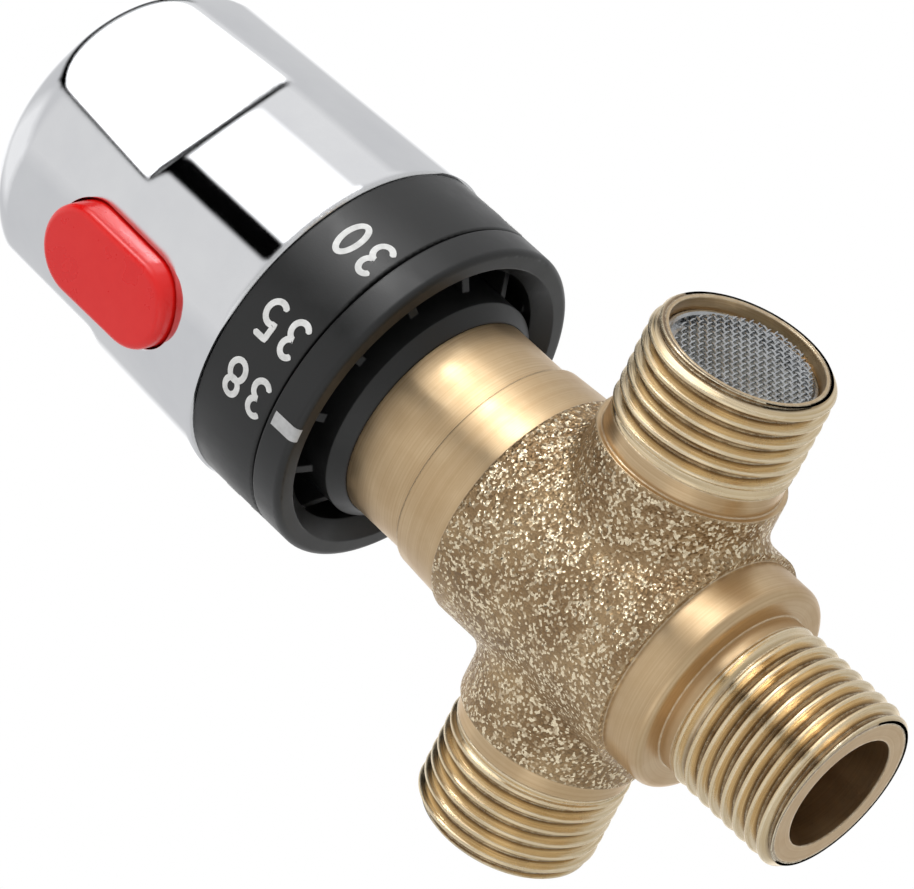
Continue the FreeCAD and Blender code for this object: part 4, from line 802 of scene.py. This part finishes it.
def index_mark():
    """The painted bar on the stop ring that the scale is read against."""
    half = 0.85 * MM
    round_off = 0.8 * MM
    bend = math.radians(14)
    line = [(RING_RADIUS, MARK_TOP), (RING_RADIUS, MARK_MIDDLE), (RING_RADIUS, RIM_FOOT + round_off)]
    for step in range(1, 7):
        angle = step * bend
        line.append((RING_RADIUS - round_off * (1 - math.cos(angle)),
                     RIM_FOOT + round_off * (1 - math.sin(angle))))
    work = bmesh.new()
    columns = []
    for step in range(5):
        angle = math.radians(-90) + (step / 4 - 0.5) * 2 * half / RING_RADIUS
        for level in (0.0, 1.0):
            column = []
            for place, (radius, height) in enumerate(line):
                slope = max(0, place - 2) * bend
                out = level * PAINT_WALL
                reach = radius + out * math.cos(slope)
                column.append(work.verts.new((reach * math.cos(angle), reach * math.sin(angle),
                                              height - out * math.sin(slope))))
            columns.append(column)
    inner, outer = columns[0::2], columns[1::2]
    last = len(line) - 1
    for left, right in zip(range(4), range(1, 5)):
        for place in range(last):
            work.faces.new((outer[left][place], outer[right][place], outer[right][place + 1],
                            outer[left][place + 1]))
            work.faces.new((inner[right][place], inner[left][place], inner[left][place + 1],
                            inner[right][place + 1]))
        work.faces.new((inner[left][0], inner[right][0], outer[right][0], outer[left][0]))
        work.faces.new((outer[left][last], outer[right][last], inner[right][last], inner[left][last]))
    for place in range(last):
        work.faces.new((inner[0][place], outer[0][place], outer[0][place + 1], inner[0][place + 1]))
        work.faces.new((outer[4][place], inner[4][place], inner[4][place + 1], outer[4][place + 1]))
    bmesh.ops.recalc_face_normals(work, faces=work.faces)
    show("index_mark", write_smooth(work, "index_mark", [INDEX]), "valve", "white_plastic")


# ---------------------------------------------------------------- make the pieces

body_casting()
threads()
filters()
smooth_copy("bonnet", "bonnet_turned")
smooth_copy("stop_ring", "stop_ring_moulded")
smooth_copy("scale_ring", "scale_ring_moulded")
plated_shell()
smooth_copy("stop_button", "stop_button_moulded")
pressed_spring("button_spring")
pressed_spring("cold_check_spring")
pressed_spring("hot_check_spring")
for text, azimuth in SCALE_BEARINGS.items():
    scale_number(text, azimuth)
index_mark()


# ---------------------------------------------------------------- camera, floor and light

MIDDLE = Vector((0, 0, 0.06))       # the studio gear stands round this point
STUDIO_RADIUS = 0.6
CAMERA_LENS = 200.36                # on a sensor 36 mm wide
CAMERA_TURN = (34.26, -26.45, -46.97)       # bearing, elevation and roll in degrees
CAMERA_AIM = Vector((0.00534, -0.00892, 0.05425))
CAMERA_DISTANCE = 0.5372
WHITE_LIGHT = (1, 1, 1, 1)


def camera():
    """Looks down on the index mark and the cold inlet, with the knob leaning to the upper left."""
    data = bpy.data.cameras.new("camera")
    data.lens = CAMERA_LENS
    data.sensor_width = 36
    data.sensor_fit = "HORIZONTAL"
    data.clip_start = 0.01
    data.clip_end = 20
    made = bpy.data.objects.new("camera", data)
    azimuth, elevation, roll = map(math.radians, CAMERA_TURN)
    right = Vector((math.cos(azimuth), math.sin(azimuth), 0))
    back = Vector((math.sin(azimuth) * math.cos(elevation), -math.cos(azimuth) * math.cos(elevation),
                   math.sin(elevation)))
    up = back.cross(right)
    right, up = (right * math.cos(roll) + up * math.sin(roll),
                 up * math.cos(roll) - right * math.sin(roll))
    made.matrix_world = Matrix((right, up, back)).transposed().to_4x4()
    made.matrix_world.translation = CAMERA_AIM + back * CAMERA_DISTANCE
    bpy.context.scene.collection.objects.link(made)
    bpy.context.scene.camera = made


def sheet(name, centre, facing, width, height, material):
    """A flat sheet of the studio, turned to face a point."""
    mesh = bpy.data.meshes.new(name)
    w, h = width / 2, height / 2
    mesh.from_pydata([(-w, -h, 0), (w, -h, 0), (w, h, 0), (-w, h, 0)], [], [(0, 1, 2, 3)])
    mesh.materials.append(material)
    made = bpy.data.objects.new(name, mesh)
    made.matrix_world = (Vector(facing) - Vector(centre)).to_track_quat("Z", "Y").to_matrix().to_4x4()
    made.matrix_world.translation = Vector(centre)
    bpy.context.scene.collection.objects.link(made)
    return made


def towards(azimuth, elevation):
    """A place on the ring of studio gear, at a bearing from the middle of the valve in degrees."""
    turn, rise = math.radians(azimuth), math.radians(elevation)
    way = Vector((math.cos(turn) * math.cos(rise), math.sin(turn) * math.cos(rise), math.sin(rise)))
    return MIDDLE + STUDIO_RADIUS * way


def span(angle):
    """The width of studio gear that fills an angle, in degrees, seen from the middle."""
    return 2 * STUDIO_RADIUS * math.tan(math.radians(angle / 2))


def reflector(name, azimuth, elevation, wide, high, glow, fade):
    """A soft-edged sheet that only the surfaces see: glow 0 is a black flag, more is a lit board."""
    width, height = span(wide), span(high)
    material = bpy.data.materials.new(name)
    material.use_nodes = True
    material.node_tree.nodes.clear()
    tree = Tree(material.node_tree)
    spot = tree.add("ShaderNodeSeparateXYZ", {0: tree.add("ShaderNodeTexCoord").outputs["Object"]})
    masks = []
    for axis, size in (("X", width), ("Y", height)):
        off_middle = tree.math("ABSOLUTE", spot.outputs[axis])
        masks.append(tree.between(off_middle, size / 2 * (1 - fade), size / 2, 1.0, 0.0))
    board = tree.add("ShaderNodeEmission", {"Color": WHITE_LIGHT, "Strength": glow})
    both = tree.add("ShaderNodeMixShader", {0: tree.math("MULTIPLY", *masks),
                                            1: tree.add("ShaderNodeBsdfTransparent").outputs[0],
                                            2: board.outputs[0]})
    tree.add("ShaderNodeOutputMaterial", {"Surface": both.outputs[0]})
    made = sheet(name, towards(azimuth, elevation), MIDDLE, width, height, material)
    made.visible_camera = False
    made.visible_shadow = False


def softbox(name, azimuth, elevation, wide, high, glow):
    """An area light of the radiance given, sized by the angles that it fills."""
    data = bpy.data.lights.new(name, "AREA")
    data.shape = "RECTANGLE"
    data.size, data.size_y = span(wide), span(high)
    data.energy = glow * math.pi * data.size * data.size_y
    centre = towards(azimuth, elevation)
    made = bpy.data.objects.new(name, data)
    made.matrix_world = (MIDDLE - centre).to_track_quat("-Z", "Y").to_matrix().to_4x4()
    made.matrix_world.translation = centre
    made.visible_camera = False
    bpy.context.scene.collection.objects.link(made)


def floor():
    """A plain pale floor, well below the valve."""
    material = bpy.data.materials.new("pale_floor")
    material.use_nodes = True
    shader = material.node_tree.nodes["Principled BSDF"]
    shader.inputs["Base Color"].default_value = shade(238, 238, 236)
    shader.inputs["Roughness"].default_value = 0.9
    sheet("pale_floor", (0, 0, -0.9), (0, 0, 1), 8, 8, material)


def studio_air():
    """Plain white to the camera, and a soft grey for everything that the surfaces mirror."""
    world = bpy.data.worlds.new("studio")
    bpy.context.scene.world = world
    world.use_nodes = True
    sky = Tree(world.node_tree)
    world.node_tree.nodes.clear()
    rays = sky.add("ShaderNodeLightPath")
    around = sky.add("ShaderNodeBackground", {"Color": (0.985, 0.99, 1.0, 1), "Strength": 0.7})
    behind = sky.add("ShaderNodeBackground", {"Color": WHITE_LIGHT, "Strength": 1.0})
    both = sky.add("ShaderNodeMixShader", {0: rays.outputs["Is Camera Ray"], 1: around.outputs[0],
                                           2: behind.outputs[0]})
    sky.add("ShaderNodeOutputWorld", {"Surface": both.outputs[0]})
    bpy.context.scene.view_settings.view_transform = "Standard"


camera()
floor()
studio_air()
softbox("top_box", -14, 28, 55, 44, 1.4)
softbox("spark", -14, 32, 8, 8, 14)
reflector("left_flag", -50, 36, 15, 90, 0, 0.3)
reflector("top_flag", 10, 68, 70, 32, 0, 0.25)
reflector("front_board", -84, 22, 60, 60, 0.8, 0.4)
reflector("right_board", 30, 30, 34, 50, 0.88, 0.4)
reflector("back_board", 128, 26, 60, 90, 1.15, 0.3)
reflector("left_board", -140, 62, 50, 40, 1.0, 0.5)
reflector("low_board", -110, -35, 60, 40, 1.0, 0.5)
